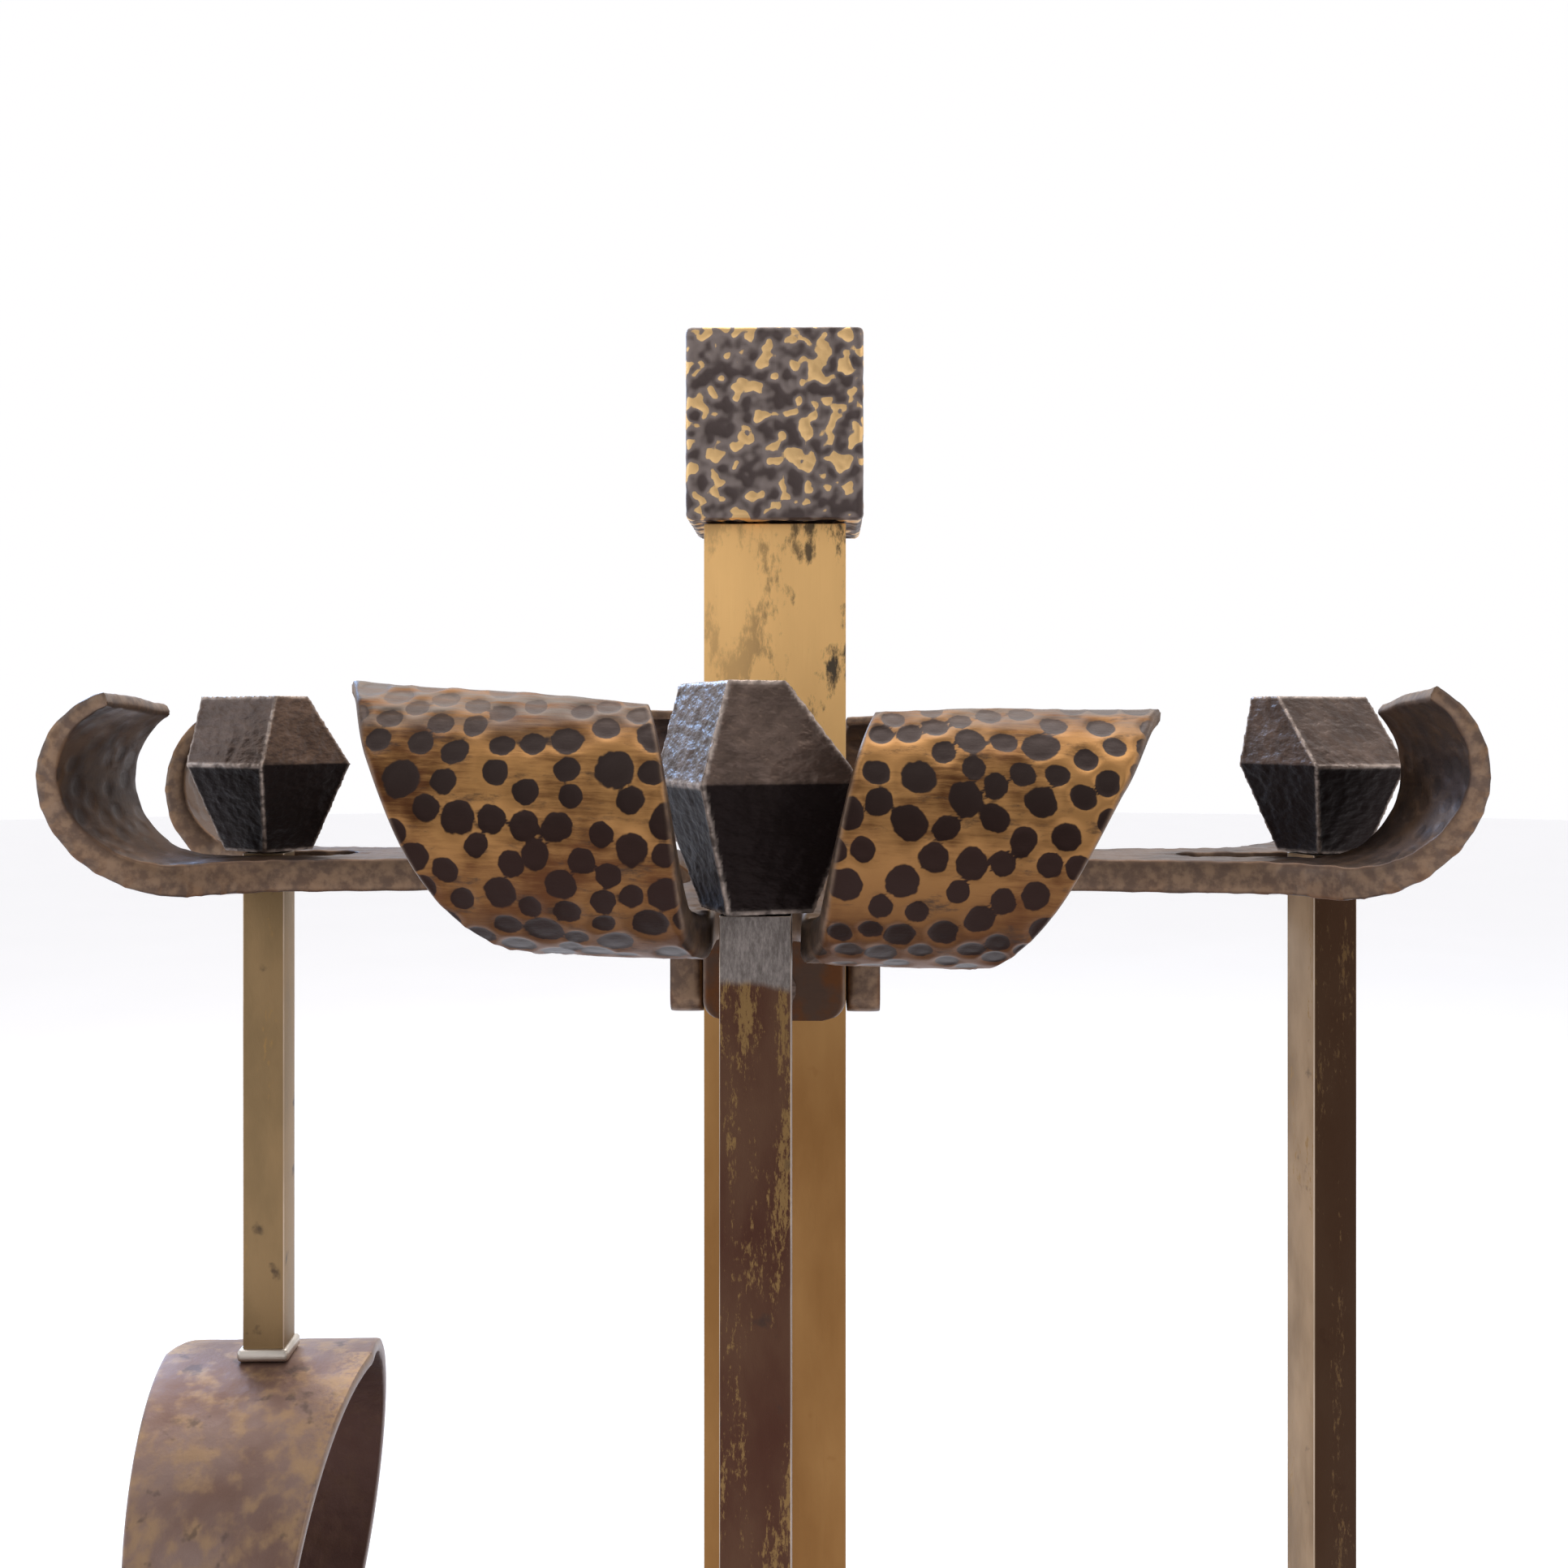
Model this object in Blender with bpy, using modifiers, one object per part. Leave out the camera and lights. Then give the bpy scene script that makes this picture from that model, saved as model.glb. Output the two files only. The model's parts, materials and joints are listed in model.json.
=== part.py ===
"""Fireplace tool set: a square brass post on a square plate, four forged arms with curled forks,
and a poker, a shovel, a brush and spring tongs that hang in the forks by their faceted knobs.

Metres, +Z up. The origin is on the floor under the post. The poker hangs at -Y, the shovel at +X,
the brush at +Y and the tongs at -X. Each tool is built in its own frame, whose origin is its seat on
the arm, with +X away from the post, and is then turned to its arm by an empty.
"""

import math
from collections import namedtuple

import bmesh
import bpy
from mathutils import Matrix, Vector

GAP = 0.0003                # between solids that touch on the real object
SEAT_GAP = 0.0005           # under a knob that rests on its arm
HEAD_TOP_SHARE = 0.6        # top of a rivet's head over its underside

# Post and cap
POST_WIDTH = 0.030
POST_WALL = 0.003
CAP_WIDTH = 0.0375
CAP_HEIGHT = 0.0407
CAP_SPIGOT_LENGTH = 0.030
CAP_BEVEL = 0.0012

# Base
PLATE_WIDTH = 0.270
PLATE_THICKNESS = 0.010
PLATE_BEVEL = 0.002
FOOT_HEIGHT = 0.014
FOOT_WIDTH = 0.026
FOOT_TAPER = 0.75           # width at the floor over width at the plate
FOOT_INSET = 0.024          # foot's centre from the plate's edges
FOOT_STUD_RADIUS = 0.004
FOOT_STUD_LENGTH = 0.007
COLLAR_WIDTH = 0.046
COLLAR_HEIGHT = 0.026
COLLAR_BEVEL = 0.003
BOLT_RADIUS = 0.005
BOLT_LENGTH = 0.032
BOLT_HEAD_WIDTH = 0.017     # across flats
BOLT_HEAD_HEIGHT = 0.0064
WASHER_RADIUS = 0.011
WASHER_THICKNESS = 0.0015
PLUG_LENGTH = 0.028

# Arms
ARM_TOP = 0.600             # height of the seats
ARM_WIDTH = 0.030
ARM_THICKNESS = 0.007
ARM_TIP_THICKNESS = 0.0032
ARM_LEG = 0.033             # how far the leg on the post reaches below the seats
ARM_BEND = 0.0065           # middle radius of the bend between leg and bar
CURL_DEPTH = 0.020          # half the curl along the arm, at mid-thickness
CURL_CORNER = 13.0          # degrees that the outer corners turn past the slot's sides
FLARE_START = 0.060         # distance from the post's axis where the bar begins to widen
NECK_HALF = 0.020           # half width a little inboard of the seat
NECK_INBOARD = 0.014        # neck's distance inboard of the curl's root
ROOT_HALF = 0.0325          # half width where the curl begins
MID_HALF = 0.0480           # half width half-way round the curl
TIP_HALF = 0.0575           # half width at the tip
SLOT_LENGTH = 0.026         # from the curl's root back to the slot's round end
SLOT_CLEARANCE = 0.0001     # beside the bar that is turned furthest in its slot
KNOB_TUCK = 0.0020          # half knob over half slot a little way up the curl
KNOB_ROOM = 0.0045          # half slot over half knob at the tip
SCREW = (0.0025, 0.0046, 0.0022)    # radius of the shank and of the flush head, height of the head
SCREW_PAST_WALL = 0.002
SCREW_HEIGHTS = (0.0065, 0.0185)    # above the leg's lower end

# Each arm: turn about the post, distance from the post's axis to the curl's outside, half the curl's
# height at mid-thickness, degrees that the slot's sides curl, and roll of the fork to one side
Arm = namedtuple("Arm", "turn reach rise curl roll")
ARMS = {
    "front": Arm(-90.0, 0.1420, 0.0178, 150.0, -2.0),
    "right": Arm(0.0, 0.1362, 0.0200, 141.0, 0.0),
    "back": Arm(90.0, 0.1420, 0.0180, 150.0, 1.0),
    "left": Arm(180.0, 0.1415, 0.0187, 152.0, 0.0),
}

# Knobs
KNOB_HEIGHT = 0.034
KNOB_GIRDLE_HEIGHT = 0.019
KNOB_WIDTH = 0.025
KNOB_SHOULDER = 0.0015      # foot past the bar on each side
KNOB_LEDGE = 0.004          # the top ridge's set-back on its steep side
KNOB_RIDGE = 0.0090         # width of the top ridge
TENON_RADIUS = 0.004
TENON_LENGTH = 0.016

# Tools
BAR = 0.0105                # square bar of poker, shovel and brush
TONGS_BAR = 0.0090
RIVET = (0.002, 0.004, 0.0018)      # radius of the shank and of the head, height of the head
POKER_LENGTH = 0.552        # seat to point
POKER_POINT = 0.070
POKER_TIP = 0.0025          # width of the blunt point
HOOK_DROP = 0.470           # hook's root below the seat
HOOK_RADIUS = 0.021
HOOK_THICKNESS = 0.0046     # radius at the root
HOOK_SWEEP = 165.0
SHOVEL_BAR_LENGTH = 0.480
PAN_TOP = 0.418             # pan's upper edge below the seat
PAN_LENGTH = 0.132
PAN_WIDTH = 0.100
PAN_TOP_WIDTH = 0.070
PAN_DEPTH = 0.027
PAN_SHEET = 0.002
PAN_CORNER = 0.010
BRUSH_BAR_LENGTH = 0.436
FERRULE = (0.026, 0.064, 0.032)     # across the arm's line, along it and high
FERRULE_WALL = 0.002
BRISTLE_LENGTH = 0.078
BRISTLE_FLARE = 1.22
PIN = (0.0016, 0.003, 0.0012)       # as RIVET
PIN_SPACING = 0.034
CROWN_DROP = 0.111          # top of the tongs' bow below the seat
BOW_DEPTH = 0.0465          # half the bow across, at mid-thickness
BOW_RISE = 0.046
BOW_SHEET = 0.003
BOW_TURN = 115.0
BOW_RETURN = 0.035          # radius of the bend back to the legs
BOW_TAIL = 0.026
BOW_HALF = 0.023            # half the strap's width at the crown
BOW_TAIL_HALF = 0.0105
CROWN_HALF = 0.007          # half the part of the bow under the bar
LEG_LENGTH = 0.325          # straight part of a leg
LEG_HALF = 0.008
LEG_THICKNESS = 0.005
CLAW_RADIUS = 0.060
CLAW_TURN = 34.0
CLAW_HALF = 0.017
CLAW_TIP = 0.003
LEG_RIVETS = (0.007, 0.019)         # below the leg's upper end

# Where each tool hangs: distance from the post's axis, turn in its slot, turn of its knob
Hang = namedtuple("Hang", "arm out turn knob")
HANGS = {
    "poker": Hang("front", 0.1185, 0.0, 21.0),
    "shovel": Hang("right", 0.1193, 16.0, -65.0),
    "brush": Hang("back", 0.1160, -6.0, 10.0),
    "tongs": Hang("left", 0.1126, 3.0, 58.0),
}

MOST_TURN = math.radians(max(abs(hang.turn) for hang in HANGS.values()))
SLOT_HALF = BAR / 2 * (math.cos(MOST_TURN) + math.sin(MOST_TURN)) + SLOT_CLEARANCE
SLOT_MID_HALF = KNOB_WIDTH / 2 - KNOB_TUCK
SLOT_TIP_HALF = KNOB_WIDTH / 2 + KNOB_ROOM
KNOB_FOOT_WIDTH = BAR + 2 * KNOB_SHOULDER
PLATE_BOTTOM = FOOT_HEIGHT + GAP
PLATE_TOP = PLATE_BOTTOM + PLATE_THICKNESS
POST_BOTTOM = PLATE_TOP + GAP
POST_BORE = POST_WIDTH - 2 * POST_WALL
CAP_BOTTOM = ARM_TOP + 0.0711
POST_TOP = CAP_BOTTOM - GAP


# Scene and materials

def clear_scene():
    for old in list(bpy.data.objects):
        bpy.data.objects.remove(old, do_unlink=True)


def new_collection(name):
    made = bpy.data.collections.new(name)
    bpy.context.scene.collection.children.link(made)
    return made


def new_material(name, colour, roughness, metallic):
    made = bpy.data.materials.new(name)
    made.use_nodes = True
    shader = made.node_tree.nodes["Principled BSDF"]
    shader.inputs["Base Color"].default_value = (*colour, 1.0)
    shader.inputs["Roughness"].default_value = roughness
    shader.inputs["Metallic"].default_value = metallic
    made.diffuse_color = (*colour, 1.0)
    return made


clear_scene()
PARTS = new_collection("fireplace_tool_set")
CUTTERS = new_collection("cutters")
POST_BRASS = new_material("post_brass", (0.50, 0.31, 0.11), 0.38, 1.0)
DARK_BRONZE = new_material("dark_bronze", (0.09, 0.05, 0.035), 0.45, 1.0)
ARM_BRONZE = new_material("arm_bronze", (0.30, 0.17, 0.07), 0.40, 1.0)
BAR_BRONZE = new_material("bar_bronze", (0.24, 0.15, 0.08), 0.42, 1.0)
STEEL = new_material("steel", (0.45, 0.45, 0.46), 0.35, 1.0)
WOOD = new_material("wood", (0.30, 0.17, 0.08), 0.60, 0.0)
BRISTLE = new_material("bristle", (0.05, 0.035, 0.025), 0.80, 0.0)


# Building blocks

def place(obj, material, parent=None):
    """Puts an object in the parts' collection with its material, and under an empty."""
    for group in list(obj.users_collection):
        group.objects.unlink(obj)
    PARTS.objects.link(obj)
    obj.data.materials.clear()
    obj.data.materials.append(material)
    obj.parent = parent
    return obj


def object_of(name, bm):
    """A mesh object made from a bmesh, with its faces pointing out."""
    bmesh.ops.recalc_face_normals(bm, faces=bm.faces)
    mesh = bpy.data.meshes.new(name)
    bm.to_mesh(mesh)
    bm.free()
    obj = bpy.data.objects.new(name, mesh)
    bpy.context.scene.collection.objects.link(obj)
    return obj


def box(name, size, centre):
    """A box of the given size, with its scale applied."""
    bm = bmesh.new()
    bmesh.ops.create_cube(bm, size=1.0)
    bmesh.ops.scale(bm, vec=size, verts=bm.verts)
    obj = object_of(name, bm)
    obj.location = centre
    return obj


def tapered_box(name, size, top, centre):
    """A box whose upper face is top = (x, y) wide."""
    obj = box(name, size, centre)
    for vertex in obj.data.vertices:
        if vertex.co.z > 0:
            vertex.co.x *= top[0] / size[0]
            vertex.co.y *= top[1] / size[1]
    return obj


def rod(name, radius, start, end, sides=20, end_radius=None):
    """A round bar, or a cone, from start to end."""
    start, end = Vector(start), Vector(end)
    bm = bmesh.new()
    bmesh.ops.create_cone(bm, cap_ends=True, segments=sides, radius1=radius,
                          radius2=radius if end_radius is None else end_radius,
                          depth=(end - start).length)
    half_facet = Matrix.Rotation(math.pi / sides, 4, "Z")
    turn = (end - start).to_track_quat("Z", "Y").to_matrix().to_4x4()
    bmesh.ops.transform(bm, matrix=turn @ half_facet, verts=bm.verts)
    obj = object_of(name, bm)
    obj.location = (start + end) / 2
    return obj


def boolean(obj, other, operation):
    """A Boolean with a helper object, which is then left out of the model."""
    if other.name not in CUTTERS.objects:
        for group in list(other.users_collection):
            group.objects.unlink(other)
        CUTTERS.objects.link(other)
    other.hide_render = True
    other.display_type = "WIRE"
    modifier = obj.modifiers.new(f"{operation.lower()}_{other.name}", "BOOLEAN")
    modifier.operation = operation
    modifier.object = other
    return obj


def cut(obj, *cutters):
    for cutter in cutters:
        cutter.parent = obj.parent
        boolean(obj, cutter, "DIFFERENCE")
    return obj


def join(obj, *others):
    for other in others:
        other.parent = obj.parent
        boolean(obj, other, "UNION")
    return obj


def bevel(obj, width, segments=2):
    modifier = obj.modifiers.new("bevel", "BEVEL")
    modifier.width = width
    modifier.segments = segments
    modifier.limit_method = "ANGLE"
    modifier.angle_limit = math.radians(40)
    return obj


def empty(name, location, turn=0.0, parent=None):
    obj = bpy.data.objects.new(name, None)
    obj.location = location
    obj.rotation_euler.z = math.radians(turn)
    obj.parent = parent
    obj.empty_display_size = 0.02
    PARTS.objects.link(obj)
    return obj


def rivet(name, sizes, start, end, material, parent):
    """A rivet whose shank runs from start to end, with a domed head past each.

    sizes holds the shank's radius, the head's radius and the head's height.
    """
    radius, head_radius, head_height = sizes
    start, end = Vector(start), Vector(end)
    head = (end - start).normalized() * head_height
    shank = place(rod(name, radius, start - head / 2, end + head / 2, 12), material, parent)
    top = head_radius * HEAD_TOP_SHARE
    return join(shank, rod(f"{name}_near_head", head_radius, start, start - head, 16, top),
                rod(f"{name}_far_head", head_radius, end, end + head, 16, top))


# Forged straps: a flat pattern is thickened and then bent along a path

def strap(name, rows, path):
    """A strap made from its flat pattern.

    rows holds (distance, half width, half slot) from one end to the other, and a distance may be a
    pair: at the slot's side and at the outer edge. path gives, for a distance, a point (out, up), the
    unit normal of the strap's inner side there and the thickness.
    """
    last = len(rows) - 1
    slot_rows = [i for i, row in enumerate(rows) if row[2] is not None]
    bm = bmesh.new()
    bmesh.ops.create_grid(bm, x_segments=2, y_segments=last, size=1.0)
    column = {v: round(v.co.x) for v in bm.verts}
    line = {v: round((v.co.y + 1) / 2 * last) for v in bm.verts}
    if slot_rows:
        middle = [e for e in bm.edges if all(column[v] == 0 and line[v] >= slot_rows[0] for v in e.verts)]
        bmesh.ops.split_edges(bm, edges=middle)
    for v in bm.verts:
        side = round(v.co.x)
        i = round((v.co.y + 1) / 2 * last)
        sides = {math.copysign(1, f.calc_center_median().x) for f in v.link_faces}
        distance, half, slot = rows[i]
        near, far = distance if isinstance(distance, tuple) else (distance, distance)
        v.tag = True
        if side:
            v.co = (side * half, far, 0.0)
        elif slot is None or len(sides) == 2:
            v.co = (0.0, near, 0.0)
        else:
            v.co = (sides.pop() * slot, near, 0.0)
    bmesh.ops.recalc_face_normals(bm, faces=bm.faces)
    bmesh.ops.solidify(bm, geom=bm.faces[:], thickness=1.0)
    low = min(v.co.z for v in bm.verts)
    for v in bm.verts:
        (out, up), (n_out, n_up), thickness = path(v.co.y)
        shift = (v.co.z - low - 0.5) * thickness
        v.co = (out + n_out * shift, v.co.x, up + n_up * shift)
    return object_of(name, bm)


def straight(start, direction, distance):
    return (start[0] + direction[0] * distance, start[1] + direction[1] * distance)


def inner_normal(direction):
    return (-direction[1], direction[0])


def smooth(share):
    share = min(max(share, 0.0), 1.0)
    return share * share * (3 - 2 * share)


# The stand

def build_post():
    size = (POST_WIDTH, POST_WIDTH, POST_TOP - POST_BOTTOM)
    post = box("post", size, (0, 0, (POST_TOP + POST_BOTTOM) / 2))
    place(post, POST_BRASS)
    bore = box("post_bore", (POST_BORE, POST_BORE, POST_TOP - POST_BOTTOM + 0.02), post.location)
    cut(post, bore)
    for height in screw_heights():
        for turn in (0, 90):
            across = Matrix.Rotation(math.radians(turn), 3, "Z") @ Vector((POST_WIDTH, 0, 0))
            up = Vector((0, 0, height))
            cut(post, rod(f"post_hole_{turn}_{height:.4f}", SCREW[0] + GAP, up - across, up + across, 12))
    return post


def screw_heights():
    return [ARM_TOP - ARM_LEG + above for above in SCREW_HEIGHTS]


def build_cap():
    cap = box("cap", (CAP_WIDTH, CAP_WIDTH, CAP_HEIGHT), (0, 0, CAP_BOTTOM + CAP_HEIGHT / 2))
    place(cap, DARK_BRONZE)
    bevel(cap, CAP_BEVEL)
    spigot_width = POST_BORE - 2 * GAP
    inside = CAP_HEIGHT / 2
    spigot = box("cap_spigot", (spigot_width, spigot_width, CAP_SPIGOT_LENGTH + inside),
                 (0, 0, CAP_BOTTOM + (inside - CAP_SPIGOT_LENGTH) / 2))
    return join(cap, spigot)


def build_base():
    plate = box("base_plate", (PLATE_WIDTH, PLATE_WIDTH, PLATE_THICKNESS),
                (0, 0, PLATE_BOTTOM + PLATE_THICKNESS / 2))
    place(plate, DARK_BRONZE)
    bevel(plate, PLATE_BEVEL)
    cut(plate, rod("plate_bolt_hole", BOLT_RADIUS + GAP, (0, 0, 0), (0, 0, PLATE_TOP + 0.01)))
    corner = PLATE_WIDTH / 2 - FOOT_INSET
    corners = (("front_left", -1, -1), ("front_right", 1, -1), ("back_left", -1, 1), ("back_right", 1, 1))
    for name, x, y in corners:
        build_foot(f"foot_{name}", x * corner, y * corner, plate)
    collar = box("post_collar", (COLLAR_WIDTH, COLLAR_WIDTH, COLLAR_HEIGHT),
                 (0, 0, POST_BOTTOM + COLLAR_HEIGHT / 2))
    place(collar, DARK_BRONZE)
    bevel(collar, COLLAR_BEVEL)
    hole = POST_WIDTH + 2 * GAP
    cut(collar, box("collar_hole", (hole, hole, COLLAR_HEIGHT * 2), collar.location))


def build_foot(name, x, y, plate):
    """A tapered square foot whose round stud is riveted into the plate."""
    bottom = FOOT_WIDTH * FOOT_TAPER
    middle = (x, y, FOOT_HEIGHT / 2)
    foot = tapered_box(name, (bottom, bottom, FOOT_HEIGHT), (FOOT_WIDTH, FOOT_WIDTH), middle)
    place(foot, DARK_BRONZE)
    stud_top = FOOT_HEIGHT + GAP + FOOT_STUD_LENGTH
    join(foot, rod(f"{name}_stud", FOOT_STUD_RADIUS, (x, y, FOOT_HEIGHT / 2), (x, y, stud_top), 16))
    cut(plate, rod(f"{name}_hole", FOOT_STUD_RADIUS + GAP, middle, (x, y, stud_top + GAP), 16))


def build_fixing():
    """The bolt that comes up through the plate into the plug in the post's lower end."""
    plug_width = POST_BORE - 2 * GAP
    plug = box("post_plug", (plug_width, plug_width, PLUG_LENGTH), (0, 0, POST_BOTTOM + PLUG_LENGTH / 2))
    place(plug, STEEL)
    cut(plug, rod("plug_hole", BOLT_RADIUS + GAP, (0, 0, 0), (0, 0, POST_BOTTOM + PLUG_LENGTH + 0.01)))
    washer_top = PLATE_BOTTOM - GAP
    washer_bottom = washer_top - WASHER_THICKNESS
    washer = rod("base_washer", WASHER_RADIUS, (0, 0, washer_bottom), (0, 0, washer_top), 24)
    place(washer, STEEL)
    cut(washer, rod("washer_hole", BOLT_RADIUS + GAP, (0, 0, 0), (0, 0, PLATE_TOP)))
    head_top = washer_bottom - GAP
    in_head = (0, 0, head_top - BOLT_HEAD_HEIGHT / 2)
    bolt = rod("base_bolt", BOLT_RADIUS, in_head, (0, 0, head_top + BOLT_LENGTH))
    place(bolt, STEEL)
    corner_radius = BOLT_HEAD_WIDTH / 2 / math.cos(math.pi / 6)
    join(bolt, rod("bolt_head", corner_radius, (0, 0, head_top - BOLT_HEAD_HEIGHT), (0, 0, head_top), 6))


# The arms

def arm_lengths(arm):
    """Distances along an arm's middle: the bend's start and end, the curl's root, its tip and corner."""
    leg = ARM_LEG - ARM_THICKNESS / 2 - ARM_BEND
    bend_end = leg + ARM_BEND * math.pi / 2
    root = bend_end + curl_root(arm) - bar_start()
    tip = root + curl_radius(arm) * math.radians(arm.curl)
    corner = root + curl_radius(arm) * math.radians(arm.curl + CURL_CORNER)
    return leg, bend_end, root, tip, corner


def leg_middle():
    return POST_WIDTH / 2 + GAP + ARM_THICKNESS / 2


def bar_start():
    return leg_middle() + ARM_BEND


def curl_root(arm):
    """How far out the curl begins, so that the curl's outside is at the arm's reach."""
    middle_of_curl = (ARM_THICKNESS + ARM_TIP_THICKNESS) / 2
    return arm.reach - CURL_DEPTH - middle_of_curl / 2


def curl_radius(arm):
    return (CURL_DEPTH + arm.rise) / 2


def arm_path(arm):
    """The arm's middle line: up the post, round the bend, out along the bar and round the curl."""
    leg, bend_end, root, tip, _ = arm_lengths(arm)
    bar_height = ARM_TOP - ARM_THICKNESS / 2

    def path(s):
        thickness = ARM_THICKNESS
        if s <= leg:
            point, along = (leg_middle(), ARM_TOP - ARM_LEG + s), (0.0, 1.0)
        elif s <= bend_end:
            angle = (s - leg) / ARM_BEND
            centre = (bar_start(), bar_height - ARM_BEND)
            point = (centre[0] - ARM_BEND * math.cos(angle), centre[1] + ARM_BEND * math.sin(angle))
            along = (math.sin(angle), math.cos(angle))
        elif s <= root:
            point, along = (bar_start() + s - bend_end, bar_height), (1.0, 0.0)
        else:
            angle = (s - root) / curl_radius(arm)
            out = curl_root(arm) + CURL_DEPTH * math.sin(angle)
            point = (out, bar_height + arm.rise * (1 - math.cos(angle)))
            along = Vector((CURL_DEPTH * math.cos(angle), arm.rise * math.sin(angle))).normalized()
            share = min((s - root) / (tip - root), 1.0)
            thickness = ARM_THICKNESS + (ARM_TIP_THICKNESS - ARM_THICKNESS) * share
        return point, inner_normal(along), thickness

    return path


def arm_rows(arm):
    """The arm's flat pattern: a bar that flares into a fishtail, with a slot that opens at its tip."""
    leg, bend_end, root, tip, corner = arm_lengths(arm)
    neck = root - NECK_INBOARD
    flare = bend_end + FLARE_START - bar_start()
    bulge = 2 * (TIP_HALF + ROOT_HALF - 2 * MID_HALF)

    def half_width(s):
        if s <= neck:
            return ARM_WIDTH / 2 + (NECK_HALF - ARM_WIDTH / 2) * smooth((s - flare) / (neck - flare))
        if s <= root:
            return NECK_HALF + (ROOT_HALF - NECK_HALF) * ((s - neck) / (root - neck)) ** 1.5
        share = min((s - root) / (tip - root), 1.0)
        return ROOT_HALF + (TIP_HALF - ROOT_HALF - bulge) * share + bulge * share ** 2

    def half_slot(s):
        inner_end = root - SLOT_LENGTH
        if s < inner_end + SLOT_HALF:
            return math.sqrt(max(SLOT_HALF ** 2 - (inner_end + SLOT_HALF - s) ** 2, 0.0))
        share = max((s - root) / (tip - root), 0.0)
        throat = SLOT_HALF + (SLOT_MID_HALF - SLOT_HALF) * smooth(4 * share)
        return throat + (SLOT_TIP_HALF - SLOT_MID_HALF) * share ** 2

    distances = [0.0]
    distances += [leg + (bend_end - leg) * i / 5 for i in range(6)]
    distances += [flare + (neck - NECK_INBOARD / 2 - flare) * i / 3 for i in range(3)]
    slot_start = root - SLOT_LENGTH
    rows = [(s, half_width(s), None) for s in distances if s < slot_start]
    slotted = [slot_start + SLOT_HALF * (1 - math.cos(math.pi / 2 * i / 4)) for i in range(5)]
    slotted += [neck + (root - neck) * i / 4 for i in range(5)]
    slotted += [root + (tip - root) * i / 14 for i in range(1, 14)]
    rows += [(s, half_width(s), half_slot(s)) for s in sorted(slotted)]
    rows.append(((tip, corner), half_width(tip), half_slot(tip)))
    return rows


def roll_fork(obj, arm):
    """Twists an arm so that its fork leans to one side, from where the bar starts to flare."""
    axis_height = ARM_TOP - ARM_THICKNESS / 2
    for v in obj.data.vertices:
        angle = math.radians(arm.roll) * smooth((v.co.x - FLARE_START) / (curl_root(arm) - FLARE_START))
        y, z = v.co.y, v.co.z - axis_height
        v.co.y = y * math.cos(angle) - z * math.sin(angle)
        v.co.z = axis_height + y * math.sin(angle) + z * math.cos(angle)


def build_arm(side):
    """An arm with its leg screwed to one face of the post by two flush screws."""
    shape = ARMS[side]
    frame = empty(f"arm_{side}_frame", (0, 0, 0), shape.turn)
    arm = strap(f"arm_{side}", arm_rows(shape), arm_path(shape))
    roll_fork(arm, shape)
    place(arm, ARM_BRONZE, frame)
    outside = POST_WIDTH / 2 + GAP + ARM_THICKNESS
    inside = POST_WIDTH / 2 - POST_WALL - SCREW_PAST_WALL
    radius, head_radius, head_height = SCREW
    past = 0.002
    past_radius = head_radius + GAP + (head_radius - radius) * past / head_height
    for level, height in zip(("lower", "upper"), screw_heights()):
        name = f"arm_{side}_screw_{level}"
        head_end = (outside - head_height, 0, height)
        cut(arm, rod(f"{name}_hole", radius + GAP, (0, 0, height), (outside + past, 0, height), 12),
            rod(f"{name}_sink", radius + GAP, head_end, (outside + past, 0, height), 16, past_radius))
        screw = rod(name, radius, (inside, 0, height), (outside - head_height / 2, 0, height), 12)
        place(screw, DARK_BRONZE, frame)
        join(screw, rod(f"{name}_head", radius, head_end, (outside, 0, height), 16, head_radius))


# Knobs and bars

def build_knob(tool, frame):
    """A forged knob: a square girdle, a tapered foot and a roof whose narrow ridge is set to one side."""
    hang = HANGS[tool]
    turn = hang.knob - ARMS[hang.arm].turn - hang.turn
    half = KNOB_WIDTH / 2
    foot = KNOB_FOOT_WIDTH / 2
    ridge = (-half + KNOB_LEDGE, -half + KNOB_LEDGE + KNOB_RIDGE)
    bm = bmesh.new()
    bmesh.ops.create_cube(bm, size=2.0)
    whole = bm.verts[:] + bm.edges[:] + bm.faces[:]
    bmesh.ops.bisect_plane(bm, geom=whole, plane_co=(0, 0, 0), plane_no=(0, 0, 1))
    for v in bm.verts:
        right, back = v.co.x > 0, math.copysign(1, v.co.y)
        if v.co.z < -0.5:
            v.co = (foot if right else -foot, back * foot, 0.0)
        elif v.co.z < 0.5:
            v.co = (half if right else -half, back * half, KNOB_GIRDLE_HEIGHT)
        else:
            v.co = (ridge[1] if right else ridge[0], back * half, KNOB_HEIGHT)
    bmesh.ops.transform(bm, matrix=Matrix.Rotation(math.radians(turn), 4, "Z"), verts=bm.verts)
    bmesh.ops.translate(bm, vec=(0, 0, SEAT_GAP), verts=bm.verts)
    knob = place(object_of(f"{tool}_knob", bm), DARK_BRONZE, frame)
    socket_top = SEAT_GAP + TENON_LENGTH + GAP
    return cut(knob, rod(f"{tool}_socket", TENON_RADIUS + GAP, (0, 0, -0.01), (0, 0, socket_top), 20))


def build_bar(tool, width, length, frame):
    """A square bar that hangs from the seat, with a round tenon that goes up into the knob."""
    bar = box(f"{tool}_bar", (width, width, length), (0, 0, -length / 2))
    place(bar, BAR_BRONZE, frame)
    shoulder = SEAT_GAP - GAP
    bar.location.z += shoulder
    tenon_top = (0, 0, SEAT_GAP + TENON_LENGTH)
    return join(bar, rod(f"{tool}_tenon", TENON_RADIUS, (0, 0, -TENON_LENGTH), tenon_top, 20))


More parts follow.
